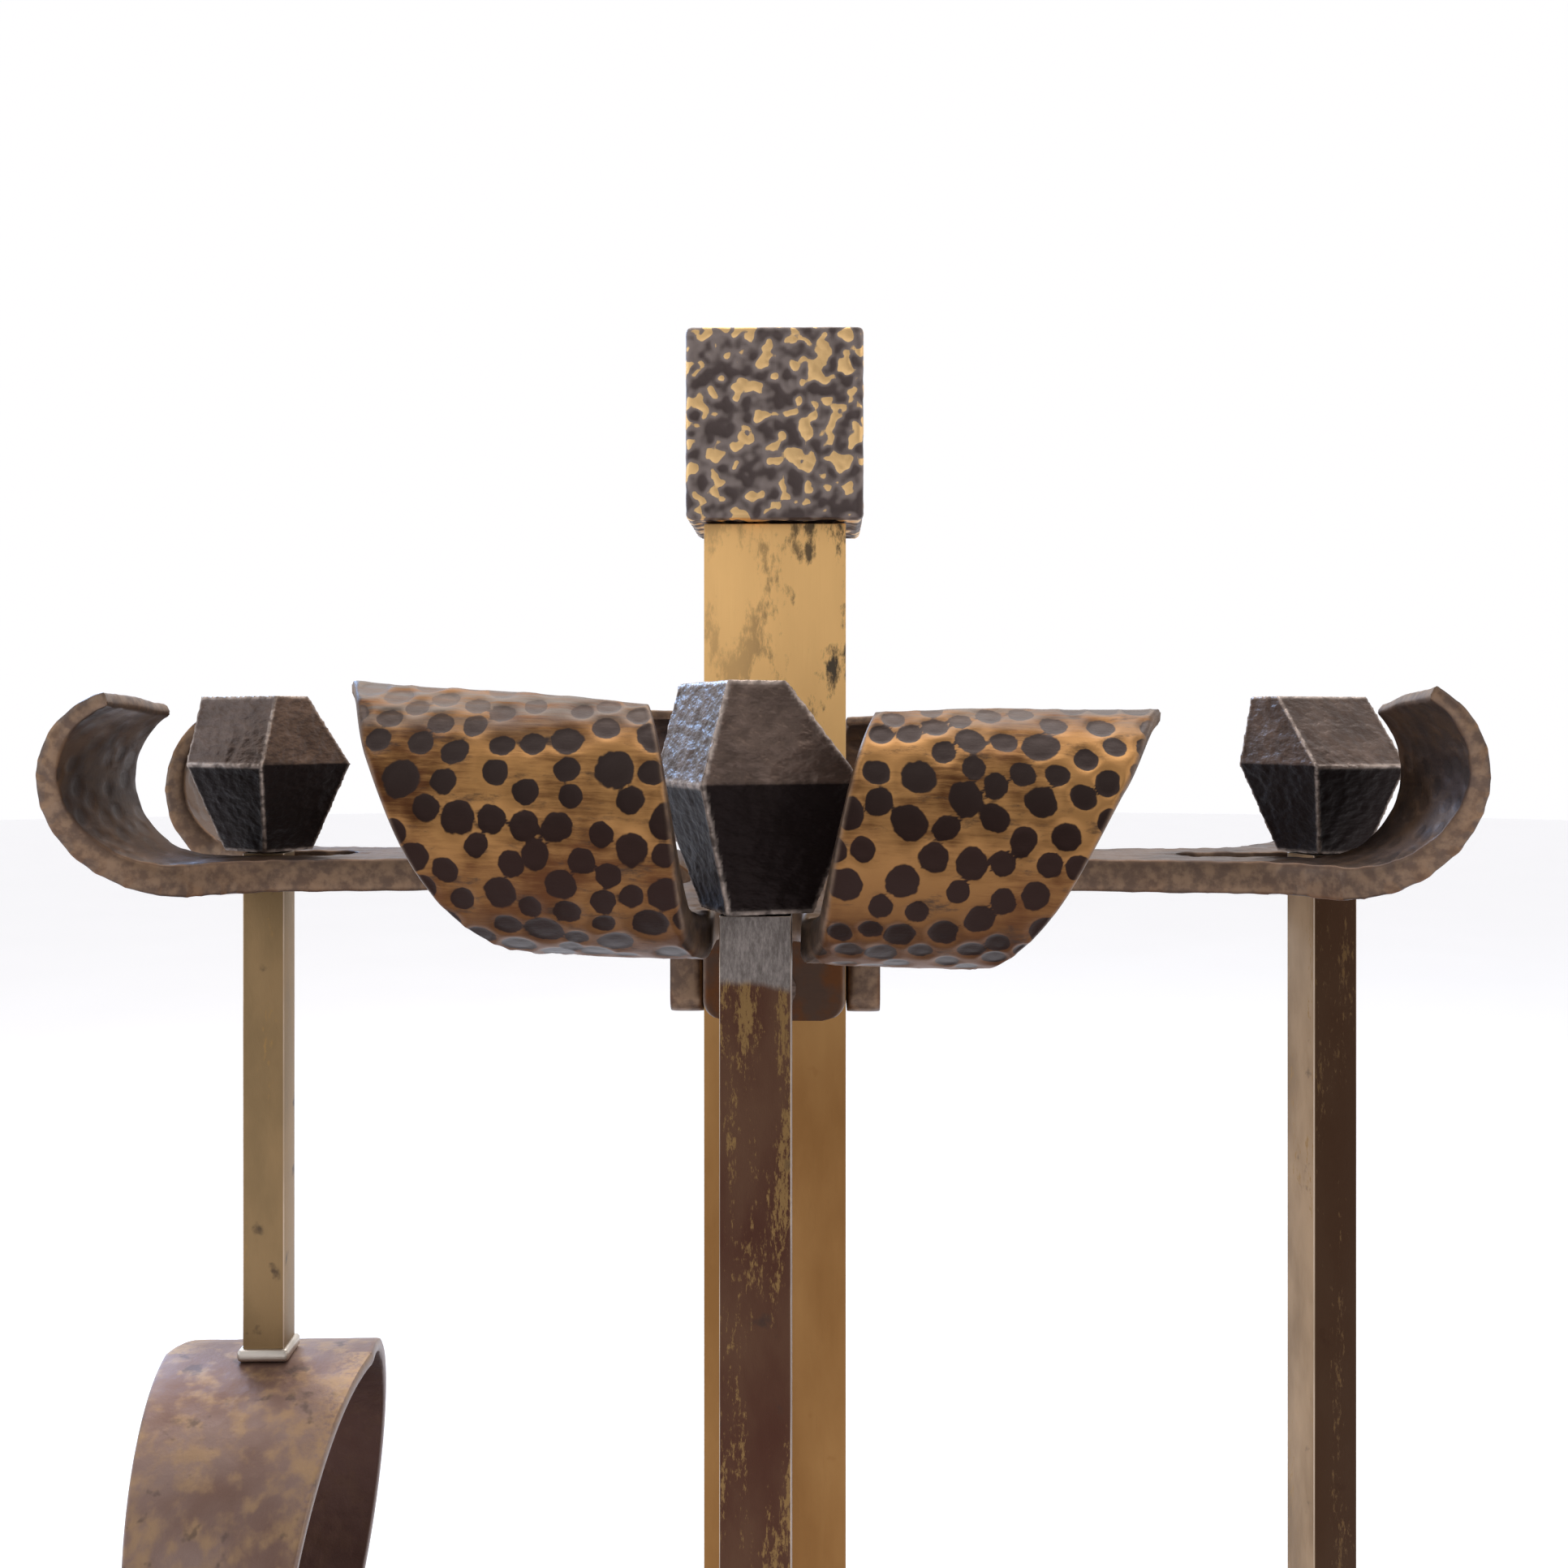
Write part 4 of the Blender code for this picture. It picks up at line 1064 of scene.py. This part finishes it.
@dataclass
class ForkedArm:
    """An arm: a leg on the post, a bar, and a slotted fishtail that curls up round a knob."""

    side: Side
    reach: float
    rise: float
    curl: float
    roll: float
    seed: int
    top: float = 0.600
    leg: float = 0.033
    thickness: float = 0.007
    tip_thickness: float = 0.0032
    bend: float = 0.0065
    inner: float = 0.0153
    depth: float = 0.020
    corner: float = 13.0
    flare: float = 0.060
    half_bar: float = 0.015
    half_neck: float = 0.020
    neck_inboard: float = 0.014
    halves: Colour = (0.0325, 0.0480, 0.0575)
    slots: Colour = (0.0066, 0.0105, 0.0170)
    slot_length: float = 0.026
    leg_corner: float = 0.004
    columns: int = 48
    fineness: float = 1.0
    set_in: float = 0.0
    spread: float = 0.0

    def __post_init__(self) -> None:
        """Works out the distances along the arm's middle."""
        self.bend_from = self.leg - self.thickness / 2 - self.bend
        self.bend_to = self.bend_from + self.bend * math.pi / 2
        self.bar_x = self.inner + self.thickness / 2 + self.bend
        self.root_x = self.reach - self.depth - (self.thickness + self.tip_thickness) / 4
        self.root = self.bend_to + self.root_x - self.bar_x
        self.radius = (self.depth + self.rise) / 2
        self.tip = self.root + self.radius * math.radians(self.curl)
        self.slot_from = self.root - self.slot_length
        self.bar_z = self.top - self.thickness / 2
        self.height = 2 * self.rise + self.thickness * 0.7

    def half_width(self, s: Points) -> Points:
        """Half the width: straight bar, neck, then the fishtail.

        Args:
            s: distances along the arm.

        Returns:
            Half the width at each.
        """
        neck = self.root - self.neck_inboard
        flare = self.bend_to + self.flare - self.bar_x
        bar = self.half_bar + (self.half_neck - self.half_bar) * smoothstep((s - flare) / (neck - flare))
        root, middle, tip = self.halves
        lead = np.clip((s - neck) / (self.root - neck), 0.0, 1.0) ** 1.5
        share = np.clip((s - self.root) / (self.tip - self.root), 0.0, 1.0)
        bulge = 2 * (tip + root - 2 * middle)
        fan = root + (tip - root - bulge) * share + bulge * share ** 2
        wave = 0.0002 * np.sin(s * 190.0 + self.seed) * smoothstep((s - self.bend_to) / 0.01)
        low = np.clip(self.leg_corner - s, 0.0, None)
        wave = wave - self.leg_corner + np.sqrt(self.leg_corner ** 2 - low ** 2)
        return np.where(s <= self.root, bar + (root - self.half_neck) * lead, fan) + wave - 0.0002

    def struck_width(self, along: float) -> float:
        """How far from the middle the hammer may strike."""
        return float(self.half_width(np.array([along]))[0]) + 0.001

    def uneven(self, s: Points, side: Points) -> Points:
        """How far the outline departs from the pattern: set in half-way on one side, spread on the other."""
        share = np.clip((s - self.root) / (self.tip - self.root), 0.0, 1.0)
        return np.where(side > 0, -self.set_in * np.sin(np.pi * share), self.spread * share ** 4)

    def half_slot(self, s: Points) -> Points:
        """Half the slot's width, from its round inner end to its wide mouth.

        Args:
            s: distances along the arm.

        Returns:
            Half the slot's width at each.
        """
        narrow, middle, mouth = self.slots
        inside = self.slot_from + narrow - s
        round_end = np.sqrt(np.clip(narrow ** 2 - np.clip(inside, 0.0, narrow) ** 2, 0.0, None))
        share = np.clip((s - self.root) / (self.tip - self.root), 0.0, 1.0)
        throat = narrow + (middle - narrow) * smoothstep(4 * share) + (mouth - middle) * share ** 2
        return np.where(s < self.slot_from, 0.0, np.where(inside > 0, round_end, throat))

    def tip_lead(self, s: Points, share: Points) -> Points:
        """Lets the outer corners run on past the slot's sides, with a slightly uneven end.

        Args:
            s: distances along the arm.
            share: from 0 at the slot to 1 at the outer edge.

        Returns:
            The distances that the points move to.
        """
        lead = self.radius * math.radians(self.corner)
        fade = smoothstep((s - self.tip + 0.012) / 0.012)
        uneven = 0.00025 * np.sin(share * 8.0 + self.seed)
        return s + fade * (lead * share + uneven)

    def path(self, s: Points) -> tuple[Points, Points, Points]:
        """The middle line, its upper normal and the thickness.

        Args:
            s: distances along the arm.

        Returns:
            The line's points, its normals and the thickness at each.
        """
        turn = np.clip((s - self.bend_from) / self.bend, 0.0, math.pi / 2)
        curl = np.clip((s - self.root) / self.radius, 0.0, None)
        rising = np.minimum(s, self.bend_from)
        straight = np.clip(s - self.bend_to, 0.0, self.root - self.bend_to)
        x = self.bar_x - self.bend * np.cos(turn) + straight + self.depth * np.sin(curl)
        z = self.top - self.leg + rising + self.bend * np.sin(turn) + self.rise * (1 - np.cos(curl))
        ax = np.where(curl > 0, self.depth * np.cos(curl), np.sin(turn))
        az = np.where(curl > 0, self.rise * np.sin(curl), np.cos(turn))
        size = np.hypot(ax, az)
        share = np.clip((s - self.root) / (self.tip - self.root), 0.0, 1.0)
        thickness = self.thickness + (self.tip_thickness - self.thickness) * share
        return np.column_stack([x, z]), np.column_stack([-az / size, ax / size]), thickness

    def rows(self) -> Points:
        """Distances of the grid's rows: coarse on the leg and bar, fine on the fork.

        Returns:
            The distances in order.
        """
        def more(count: int) -> int:
            """The count at this arm's fineness."""
            return int(count * self.fineness)

        return np.unique(np.concatenate([
            np.linspace(0.0, self.leg_corner, 8), np.linspace(self.leg_corner, self.bend_from, 8),
            np.linspace(self.bend_from, self.bend_to, 14),
            np.linspace(self.bend_to, self.slot_from, more(26)),
            np.linspace(self.slot_from, self.root, more(40)),
            np.linspace(self.root, self.tip - 0.002, more(84)),
            np.linspace(self.tip - 0.002, self.tip, 7)]))

    def build(self) -> bpy.types.Object:
        """Hammers and bends the arm, rolls its fork and turns it to its side of the post.

        Returns:
            The arm.
        """
        rng = random.Random(self.seed)
        corner = self.tip + self.radius * math.radians(self.corner)
        fork = strike(rng, FORK_BLOWS, (self.root - 0.010, corner), self.struck_width)
        neck = strike(rng, NECK_BLOWS, (self.bend_to, self.root - 0.012), self.struck_width)
        top = strike(rng, TOP_BLOWS, (self.bend_to, corner), self.struck_width)
        strap = Strap(self.rows(), self.columns, self.half_width, self.half_slot, self.slot_from,
                      self.tip_lead, self.path, self.uneven, marks_out=fork + neck, marks_in=top)
        node = f"arm_{self.side.word}"
        obj = strap.build(f"{node}_hammered")
        mesh = obj.data
        points = points_of(mesh)
        angle = math.radians(self.roll) * smoothstep((points[:, 0] - self.flare) / (self.root_x - self.flare))
        y, z = points[:, 1].copy(), points[:, 2] - self.bar_z
        points[:, 1] = y * np.cos(angle) - z * np.sin(angle)
        points[:, 2] = self.bar_z + y * np.sin(angle) + z * np.cos(angle)
        mesh.vertices.foreach_set("co", points.astype(np.float32).ravel())
        store(mesh, "rise", np.clip((points[:, 2] - self.top + self.thickness) / self.height, 0.0, 1.0))
        along = values_of(mesh, "along")
        in_fork = smoothstep((along - self.root + 0.012) / 0.008)
        store(mesh, "mark", values_of(mesh, "mark") - 0.6 * (1.0 - in_fork))
        store(mesh, "fork", in_fork)
        mesh.transform(Matrix.Rotation(math.radians(self.side.value), 4, "Z"))
        mesh.update()
        return stand_for(obj, node, FORK_BRONZE)


# Sub-assemblies

@dataclass
class Stand:
    """The post on its plate, the cap, the arms and what holds them together."""

    plate_pitch: float = 0.0022
    plate_marks: float = 0.0007
    post_rounding: float = 0.0009
    fixing_rounding: float = 0.0003
    screw_proud: float = 0.0003

    def build(self) -> None:
        """Makes every piece that doesn't move."""
        self.spigot_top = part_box("post")[1].z + 0.0002
        self.arms()
        self.base()
        softened("post", self.post_rounding, POST_BRASS)
        forged("cap", CAP_WORK, CAP_METAL, self.cap_carve)
        forged("post_collar", COLLAR_WORK, DARK)
        for node in ("post_plug", "base_bolt", "base_washer"):
            softened(node, self.fixing_rounding, STEEL)

    def cap_carve(self, point: Vector) -> tuple[float, float]:
        """Works the cap's block, and leaves its spigot inside the post plain."""
        return cast_relief(point) if point.z >= self.spigot_top else (0.0, 0.0)

    def arms(self) -> None:
        """The four arms, none quite like another, and their flush screws."""
        for arm in (ForkedArm(Side.FRONT, 0.1420, 0.0178, 150.0, -2.0, 11, columns=80, fineness=1.55,
                              slots=(0.0066, 0.0088, 0.0160), set_in=0.0036, spread=0.0026),
                    ForkedArm(Side.RIGHT, 0.1362, 0.0200, 141.0, 0.0, 23),
                    ForkedArm(Side.BACK, 0.1420, 0.0180, 150.0, 1.0, 37),
                    ForkedArm(Side.LEFT, 0.1415, 0.0187, 152.0, 0.0, 41)):
            arm.build()
            turn = Matrix.Rotation(math.radians(arm.side.value), 4, "Z")
            outward = turn @ Vector((self.screw_proud, 0.0, 0.0))
            for level in ("lower", "upper"):
                screw = softened(f"arm_{arm.side.word}_screw_{level}", self.fixing_rounding, DARK)
                screw.data.transform(Matrix.Translation(outward))

    def base(self) -> None:
        """The plate, hammered over its top, and its feet."""
        low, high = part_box("base_plate")
        bm = bmesh.new()
        bmesh.ops.create_cube(bm, size=1.0)
        bmesh.ops.scale(bm, vec=high - low, verts=bm.verts)
        bmesh.ops.translate(bm, vec=(low + high) / 2, verts=bm.verts)
        upright = [e for e in bm.edges if abs(e.verts[0].co.z - e.verts[1].co.z) > 1e-6]
        bmesh.ops.bevel(bm, geom=upright, offset=0.004, segments=4, profile=0.5, affect="EDGES", material=-1)
        rims = [e for e in bm.edges if abs(e.verts[0].co.z - e.verts[1].co.z) < 1e-6]
        bmesh.ops.bevel(bm, geom=rims, offset=0.002, segments=4, profile=0.5, affect="EDGES", material=-1)
        for axis in (Vector((1, 0, 0)), Vector((0, 1, 0))):
            span = high.x - low.x
            for i in range(1, int(span / self.plate_pitch)):
                at = axis * (low.x + span * i / int(span / self.plate_pitch))
                bmesh.ops.bisect_plane(bm, geom=bm.verts[:] + bm.edges[:] + bm.faces[:], plane_co=at,
                                       plane_no=axis)
        obj = object_from("base_plate_hammered", bm)
        points, normals = points_of(obj.data), normals_of(obj.data)
        top = smoothstep((normals[:, 2] - 0.6) / 0.3)
        carve = planished(PLATE_FACETS, self.plate_marks)
        relief = np.array([carve(Vector(p)) for p in points])
        points[:, 2] -= top * relief[:, 0]
        obj.data.vertices.foreach_set("co", points.astype(np.float32).ravel())
        obj.data.update()
        from_side = high.x - np.maximum(np.abs(points[:, 0]), np.abs(points[:, 1]))
        from_face = np.minimum(high.z - points[:, 2], points[:, 2] - low.z)
        store(obj.data, "edge", 1.0 - smoothstep(np.hypot(from_side, from_face) / 0.002 - 0.4))
        # How far the surface faces down: the dark finish paints shade there.
        store(obj.data, "under", np.clip(-normals[:, 2] * 1.6, 0.0, 1.0))
        stand_for(obj, "base_plate", PLATE_DARK)
        for end in ("front_left", "front_right", "back_left", "back_right"):
            forged(f"foot_{end}", FOOT_WORK, DARK)


@dataclass
class HungTool:
    """A tool that hangs by its knob: the knob and the square bar."""

    name: str
    bar: WornBar
    bar_rounding: float = 0.0005

    def build(self) -> None:
        """Makes the knob, planished, and the bar with light arrises."""
        forged(f"{self.name}_knob", KNOB_WORK, DARK)
        softened(f"{self.name}_bar", self.bar_rounding, self.bar)


@dataclass
class Poker(HungTool):
    """The poker with its side hook."""

    def build(self) -> None:
        """Adds the hook to the knob and bar."""
        super().build()
        forged("poker_hook", HOOK_WORK, POKER_BAR)


@dataclass
class Shovel(HungTool):
    """The shovel with its riveted pan."""

    pan_rounding: float = 0.0005

    def build(self) -> None:
        """Adds the pan and its rivets."""
        super().build()
        softened("shovel_pan", self.pan_rounding, TOOL_BROWN)
        for level in ("upper", "lower"):
            forged(f"shovel_rivet_{level}", RIVET_WORK, DARK)


@dataclass
class HearthBrush(HungTool):
    """The brush: ferrule, wooden block, cross pins and a head of separate strands."""

    tufts: tuple[int, int] = (9, 24)
    strands: int = 6
    strand_radius: float = 0.00042
    block_rounding: float = 0.0004
    pin_rounding: float = 0.0002
    seed: int = 5

    def build(self) -> None:
        """Adds the head to the knob and bar."""
        super().build()
        forged("brush_ferrule", FERRULE_WORK, DARK)
        softened("brush_block", self.block_rounding, WOOD)
        for side in ("left", "right"):
            softened(f"brush_pin_{side}", self.pin_rounding, self.bar)
        self.head()

    def head(self) -> None:
        """Strands that splay from the block to the outline of the solid."""
        solid = merged("brush_bristles")
        top = max(v.co.z for v in solid.verts)
        bottom = min(v.co.z for v in solid.verts)
        upper = [v.co.copy() for v in solid.verts if v.co.z > top - 1e-4]
        lower = [v.co.copy() for v in solid.verts if v.co.z < bottom + 1e-4]
        solid.free()
        centre = sum(upper, Vector()) / len(upper)
        for corners in (upper, lower):
            corners.sort(key=lambda v: math.atan2(v.y - centre.y, v.x - centre.x))
        rng = random.Random(self.seed)
        bm = bmesh.new()
        shade = bm.verts.layers.float.new("strand")
        tip = bm.verts.layers.float.new("tip")
        for i in range(self.tufts[0]):
            for j in range(self.tufts[1]):
                for _ in range(self.strands):
                    u = (i + rng.uniform(0.15, 0.85)) / self.tufts[0]
                    v = (j + rng.uniform(0.15, 0.85)) / self.tufts[1]
                    start = self.within(upper, u, v)
                    u = min(max(u + rng.gauss(0.0, 0.03), 0.01), 0.99)
                    v = min(max(v + rng.gauss(0.0, 0.015), 0.01), 0.99)
                    end = self.within(lower, u, v)
                    end.z += abs(rng.gauss(0.0, 0.0016))
                    self.strand(bm, start, end, rng.random(), shade, tip)
        obj = object_from("brush_head", bm)
        stand_for(obj, "brush_bristles", FIBRE)

    def within(self, corners: list[Vector], u: float, v: float) -> Vector:
        """The point at the shares u and v between four corners."""
        return corners[0].lerp(corners[1], v).lerp(corners[3].lerp(corners[2], v), u)

    def strand(self, bm: bmesh.types.BMesh, start: Vector, end: Vector, tone: float,
               shade: bmesh.types.BMLayerItem, tip: bmesh.types.BMLayerItem) -> None:
        """One tapered strand of three facets.

        Args:
            bm: the mesh that it joins.
            start: its root in the block.
            end: its tip.
            tone: its share of the lighter brown.
            shade: the layer that holds the tone.
            tip: the layer that marks the tips.
        """
        turn = (start - end).to_track_quat("Z", "Y").to_matrix().to_4x4()
        place = Matrix.Translation((start + end) / 2) @ turn
        made = bmesh.ops.create_cone(bm, cap_ends=True, segments=3, radius1=self.strand_radius * 0.5,
                                     radius2=self.strand_radius, depth=(start - end).length, matrix=place)
        for v in made["verts"]:
            v[shade] = tone
            v[tip] = 1.0 if (v.co - end).length < (v.co - start).length else 0.0


@dataclass
class Tongs(HungTool):
    """The tongs: a spring bow between the bar and two riveted legs."""

    sheet: float = 0.003
    across: float = 0.0465
    rise: float = 0.046
    turn: float = 115.0
    back_bend: float = 0.035
    tail: float = 0.026
    half_crown: float = 0.023
    half_tail: float = 0.0105
    half_struck: float = 0.022
    leg_rounding: float = 0.0006
    hang_turn: float = 3.0
    bead: float = 0.0028

    def build(self) -> None:
        """Adds the bow, the legs and the rivets."""
        super().build()
        self.weld()
        self.ellipse = (self.across + self.rise) / 2 * math.radians(self.turn)
        angle = math.radians(self.turn)
        self.lean = math.atan2(-self.across * math.cos(angle), self.rise * math.sin(angle))
        self.returned = self.ellipse + self.back_bend * self.lean
        for side, name in ((1, "front"), (-1, "back")):
            self.half_bow(side, name)
            softened(f"tongs_leg_{name}", self.leg_rounding, TOOL_BROWN)
            for level in ("upper", "lower"):
                forged(f"tongs_rivet_{name}_{level}", RIVET_WORK, DARK)

    def weld(self) -> None:
        """The pale bead round the bar's foot on the crown."""
        low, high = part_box("tongs_bar")
        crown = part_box("tongs_crown")[1].z
        middle = (low + high) / 2
        bm = bmesh.new()
        bmesh.ops.create_cube(bm, size=1.0)
        bmesh.ops.scale(bm, vec=(0.0112, 0.0112, self.bead), verts=bm.verts)
        bmesh.ops.bevel(bm, geom=bm.edges[:], offset=0.0010, segments=4, profile=0.5, affect="EDGES",
                        material=-1)
        turn = Matrix.Rotation(math.radians(Side.LEFT.value + self.hang_turn), 4, "Z")
        place = Matrix.Translation((middle.x, middle.y, crown + self.bead / 2 - 0.0002))
        bmesh.ops.transform(bm, matrix=place @ turn, verts=bm.verts)
        obj = object_from("tongs_weld_bead", bm)
        dress(obj, WELD)
        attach(obj, "tongs")
        report(obj)

    def half_width(self, s: Points) -> Points:
        """Half the strap's width, narrowing from the crown to the tail."""
        share = np.clip(s / self.returned, 0.0, 1.0)
        return self.half_crown + (self.half_tail - self.half_crown) * share

    def struck_width(self, along: float) -> float:
        """How far from the middle the hammer may strike, the same all along."""
        return self.half_struck

    def no_slot(self, s: Points) -> Points:
        """The bow isn't slotted."""
        return np.zeros(len(s))

    def square_end(self, s: Points, share: Points) -> Points:
        """The bow's ends are cut straight across."""
        return s

    def path(self, s: Points) -> tuple[Points, Points, Points]:
        """The bow's middle line from the crown, its upper normal and the thickness.

        Args:
            s: distances along the bow.

        Returns:
            The line's points, its normals and the thickness at each.
        """
        radius = (self.across + self.rise) / 2
        angle = np.clip(s, 0.0, self.ellipse) / radius
        x, z = self.across * np.sin(angle), -self.rise * (1 - np.cos(angle))
        ax, az = self.across * np.cos(angle), -self.rise * np.sin(angle)
        turned = self.lean - np.clip((s - self.ellipse) / self.back_bend, 0.0, self.lean)
        past = s > self.ellipse
        x = np.where(past, x - self.back_bend * (np.cos(turned) - math.cos(self.lean)), x)
        z = np.where(past, z - self.back_bend * (math.sin(self.lean) - np.sin(turned)), z)
        ax, az = np.where(past, -np.sin(turned), ax), np.where(past, -np.cos(turned), az)
        z = z - np.clip(s - self.returned, 0.0, None)
        size = np.hypot(ax, az)
        return np.column_stack([x, z]), np.column_stack([-az / size, ax / size]), np.full(len(s), self.sheet)

    def half_bow(self, side: int, name: str) -> None:
        """One half of the bow, from the middle of the crown down to the rivets.

        Args:
            side: 1 for the front half, -1 for the back.
            name: the half's name in the solids' names.
        """
        rows = np.linspace(0.0, self.returned + self.tail, 150)
        rng = random.Random(60 + side)
        marks = strike(rng, BOW_BLOWS, (0.004, rows[-1]), self.struck_width)
        strap = Strap(rows, 22, self.half_width, self.no_slot, NOWHERE, self.square_end, self.path,
                      rounding=0.0007, marks_out=marks, marks_in=marks)
        obj = strap.build(f"tongs_bow_{name}_spring")
        crown_low, crown_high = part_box("tongs_crown")
        centre = (crown_low + crown_high) / 2
        centre.z = crown_high.z - self.sheet / 2
        frame_turn = Side.LEFT.value + self.hang_turn + 90.0 * side
        obj.data.transform(Matrix.Rotation(math.radians(frame_turn), 4, "Z"))
        obj.data.transform(Matrix.Translation(centre))
        obj.data.update()
        dress(obj, BOW_BROWN)
        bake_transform(obj)
        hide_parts(f"tongs_bow_{name}", "tongs_crown")
        report(obj)


# Studio

@dataclass
class Studio:
    """Pale floor, soft light and the camera."""

    eye: Colour = (0.0093, -0.3665, 0.6279)
    yaw: float = 1.2
    lens: float = 38.2
    shift: float = -0.0367
    floor_radius: float = 12.0
    floor_glow: float = 0.17
    sky_tint: Colour = (0.955, 0.95, 0.97)
    sky_behind: float = 1.05
    sky_left: float = 0.86
    sky_right: float = 0.40

    def build(self) -> None:
        """Sets the camera, the sky, the lights and the floor."""
        bpy.context.scene.view_settings.view_transform = "Standard"
        self.camera()
        self.sky()
        self.softbox("ceiling", (0.0, 0.9, 2.6), (0.0, 0.0, 0.5), 2.2, 34.0, (1.0, 0.98, 0.96))
        self.softbox("window", (-1.5, 2.0, 1.75), (0.0, 0.0, 0.62), 0.75, 26.0, (0.30, 0.55, 1.0))
        self.softbox("side_window", (-1.9, -0.5, 0.9), (0.0, 0.0, 0.62), 0.8, 3.5, (0.55, 0.74, 1.0))
        self.softbox("fill", (1.7, -0.9, 1.5), (0.0, 0.0, 0.5), 1.0, 5.0, (1.0, 0.96, 0.92))
        self.floor()

    def camera(self) -> None:
        """A level camera close to the forks."""
        data = bpy.data.cameras.new("camera")
        data.lens = self.lens
        data.shift_y = self.shift
        data.clip_start = 0.01
        data.clip_end = 100.0
        obj = bpy.data.objects.new("camera", data)
        obj.location = self.eye
        obj.rotation_euler = (math.radians(90.0), 0.0, math.radians(self.yaw))
        bpy.context.scene.collection.objects.link(obj)
        bpy.context.scene.camera = obj

    def sky(self) -> None:
        """White behind the set, dimmer in front of it and dimmest on the right in front."""
        world = bpy.data.worlds.new("sky")
        world.use_nodes = True
        bpy.context.scene.world = world
        graph = Graph(world.node_tree)
        background = graph.tree.nodes["Background"]
        graph.feed(background.inputs["Color"], (*self.sky_tint, 1.0))
        where = graph.node("ShaderNodeTexCoord", output="Generated")
        across = graph.node("ShaderNodeSeparateXYZ", {}, {"Vector": where}, output="X")
        away = graph.node("ShaderNodeSeparateXYZ", {}, {"Vector": where}, output="Y")
        facing = across.eased(-0.6, 0.5, self.sky_left, self.sky_right)
        graph.feed(background.inputs["Strength"], away.eased(-0.65, 0.25, facing, self.sky_behind))

    def softbox(self, name: str, place: Colour, aim: Colour, size: float, watts: float, tint: Colour) -> None:
        """A square area light turned to its aim.

        Args:
            name: its name.
            place: where it hangs.
            aim: the point that it faces.
            size: the length of its sides.
            watts: its power.
            tint: its colour.
        """
        data = bpy.data.lights.new(name, "AREA")
        data.size = size
        data.energy = watts
        data.color = tint
        obj = bpy.data.objects.new(name, data)
        obj.location = place
        obj.rotation_euler = (Vector(aim) - Vector(place)).to_track_quat("-Z", "Y").to_euler()
        obj.visible_camera = False
        bpy.context.scene.collection.objects.link(obj)

    def floor(self) -> None:
        """A round pale floor."""
        bm = bmesh.new()
        bmesh.ops.create_circle(bm, cap_ends=True, segments=96, radius=self.floor_radius)
        obj = object_from("floor", bm)
        shader = Shader("pale_floor")
        dust = shader.clouds(shader.place(), 3.0)
        colour = shader.mix(dust, (0.86, 0.855, 0.865), (0.90, 0.895, 0.905))
        shader.feed(shader.surface.inputs["Emission Color"], (1.0, 1.0, 1.0, 1.0))
        shader.feed(shader.surface.inputs["Emission Strength"], self.floor_glow)
        shader.finish(colour, 0.75, 0.0)
        obj.data.materials.append(shader.material)


def main() -> None:
    """Builds the studio and the five sub-assemblies."""
    logging.basicConfig(level=logging.INFO, format="%(name)s %(message)s")
    Studio().build()
    for assembly in (Stand(), Poker("poker", POKER_BAR), Shovel("shovel", SHOVEL_BAR),
                     HearthBrush("brush", BRUSH_BAR), Tongs("tongs", TONGS_BAR)):
        assembly.build()
        LOG.info("%s is built", type(assembly).__name__)


if __name__ == "__main__":
    main()
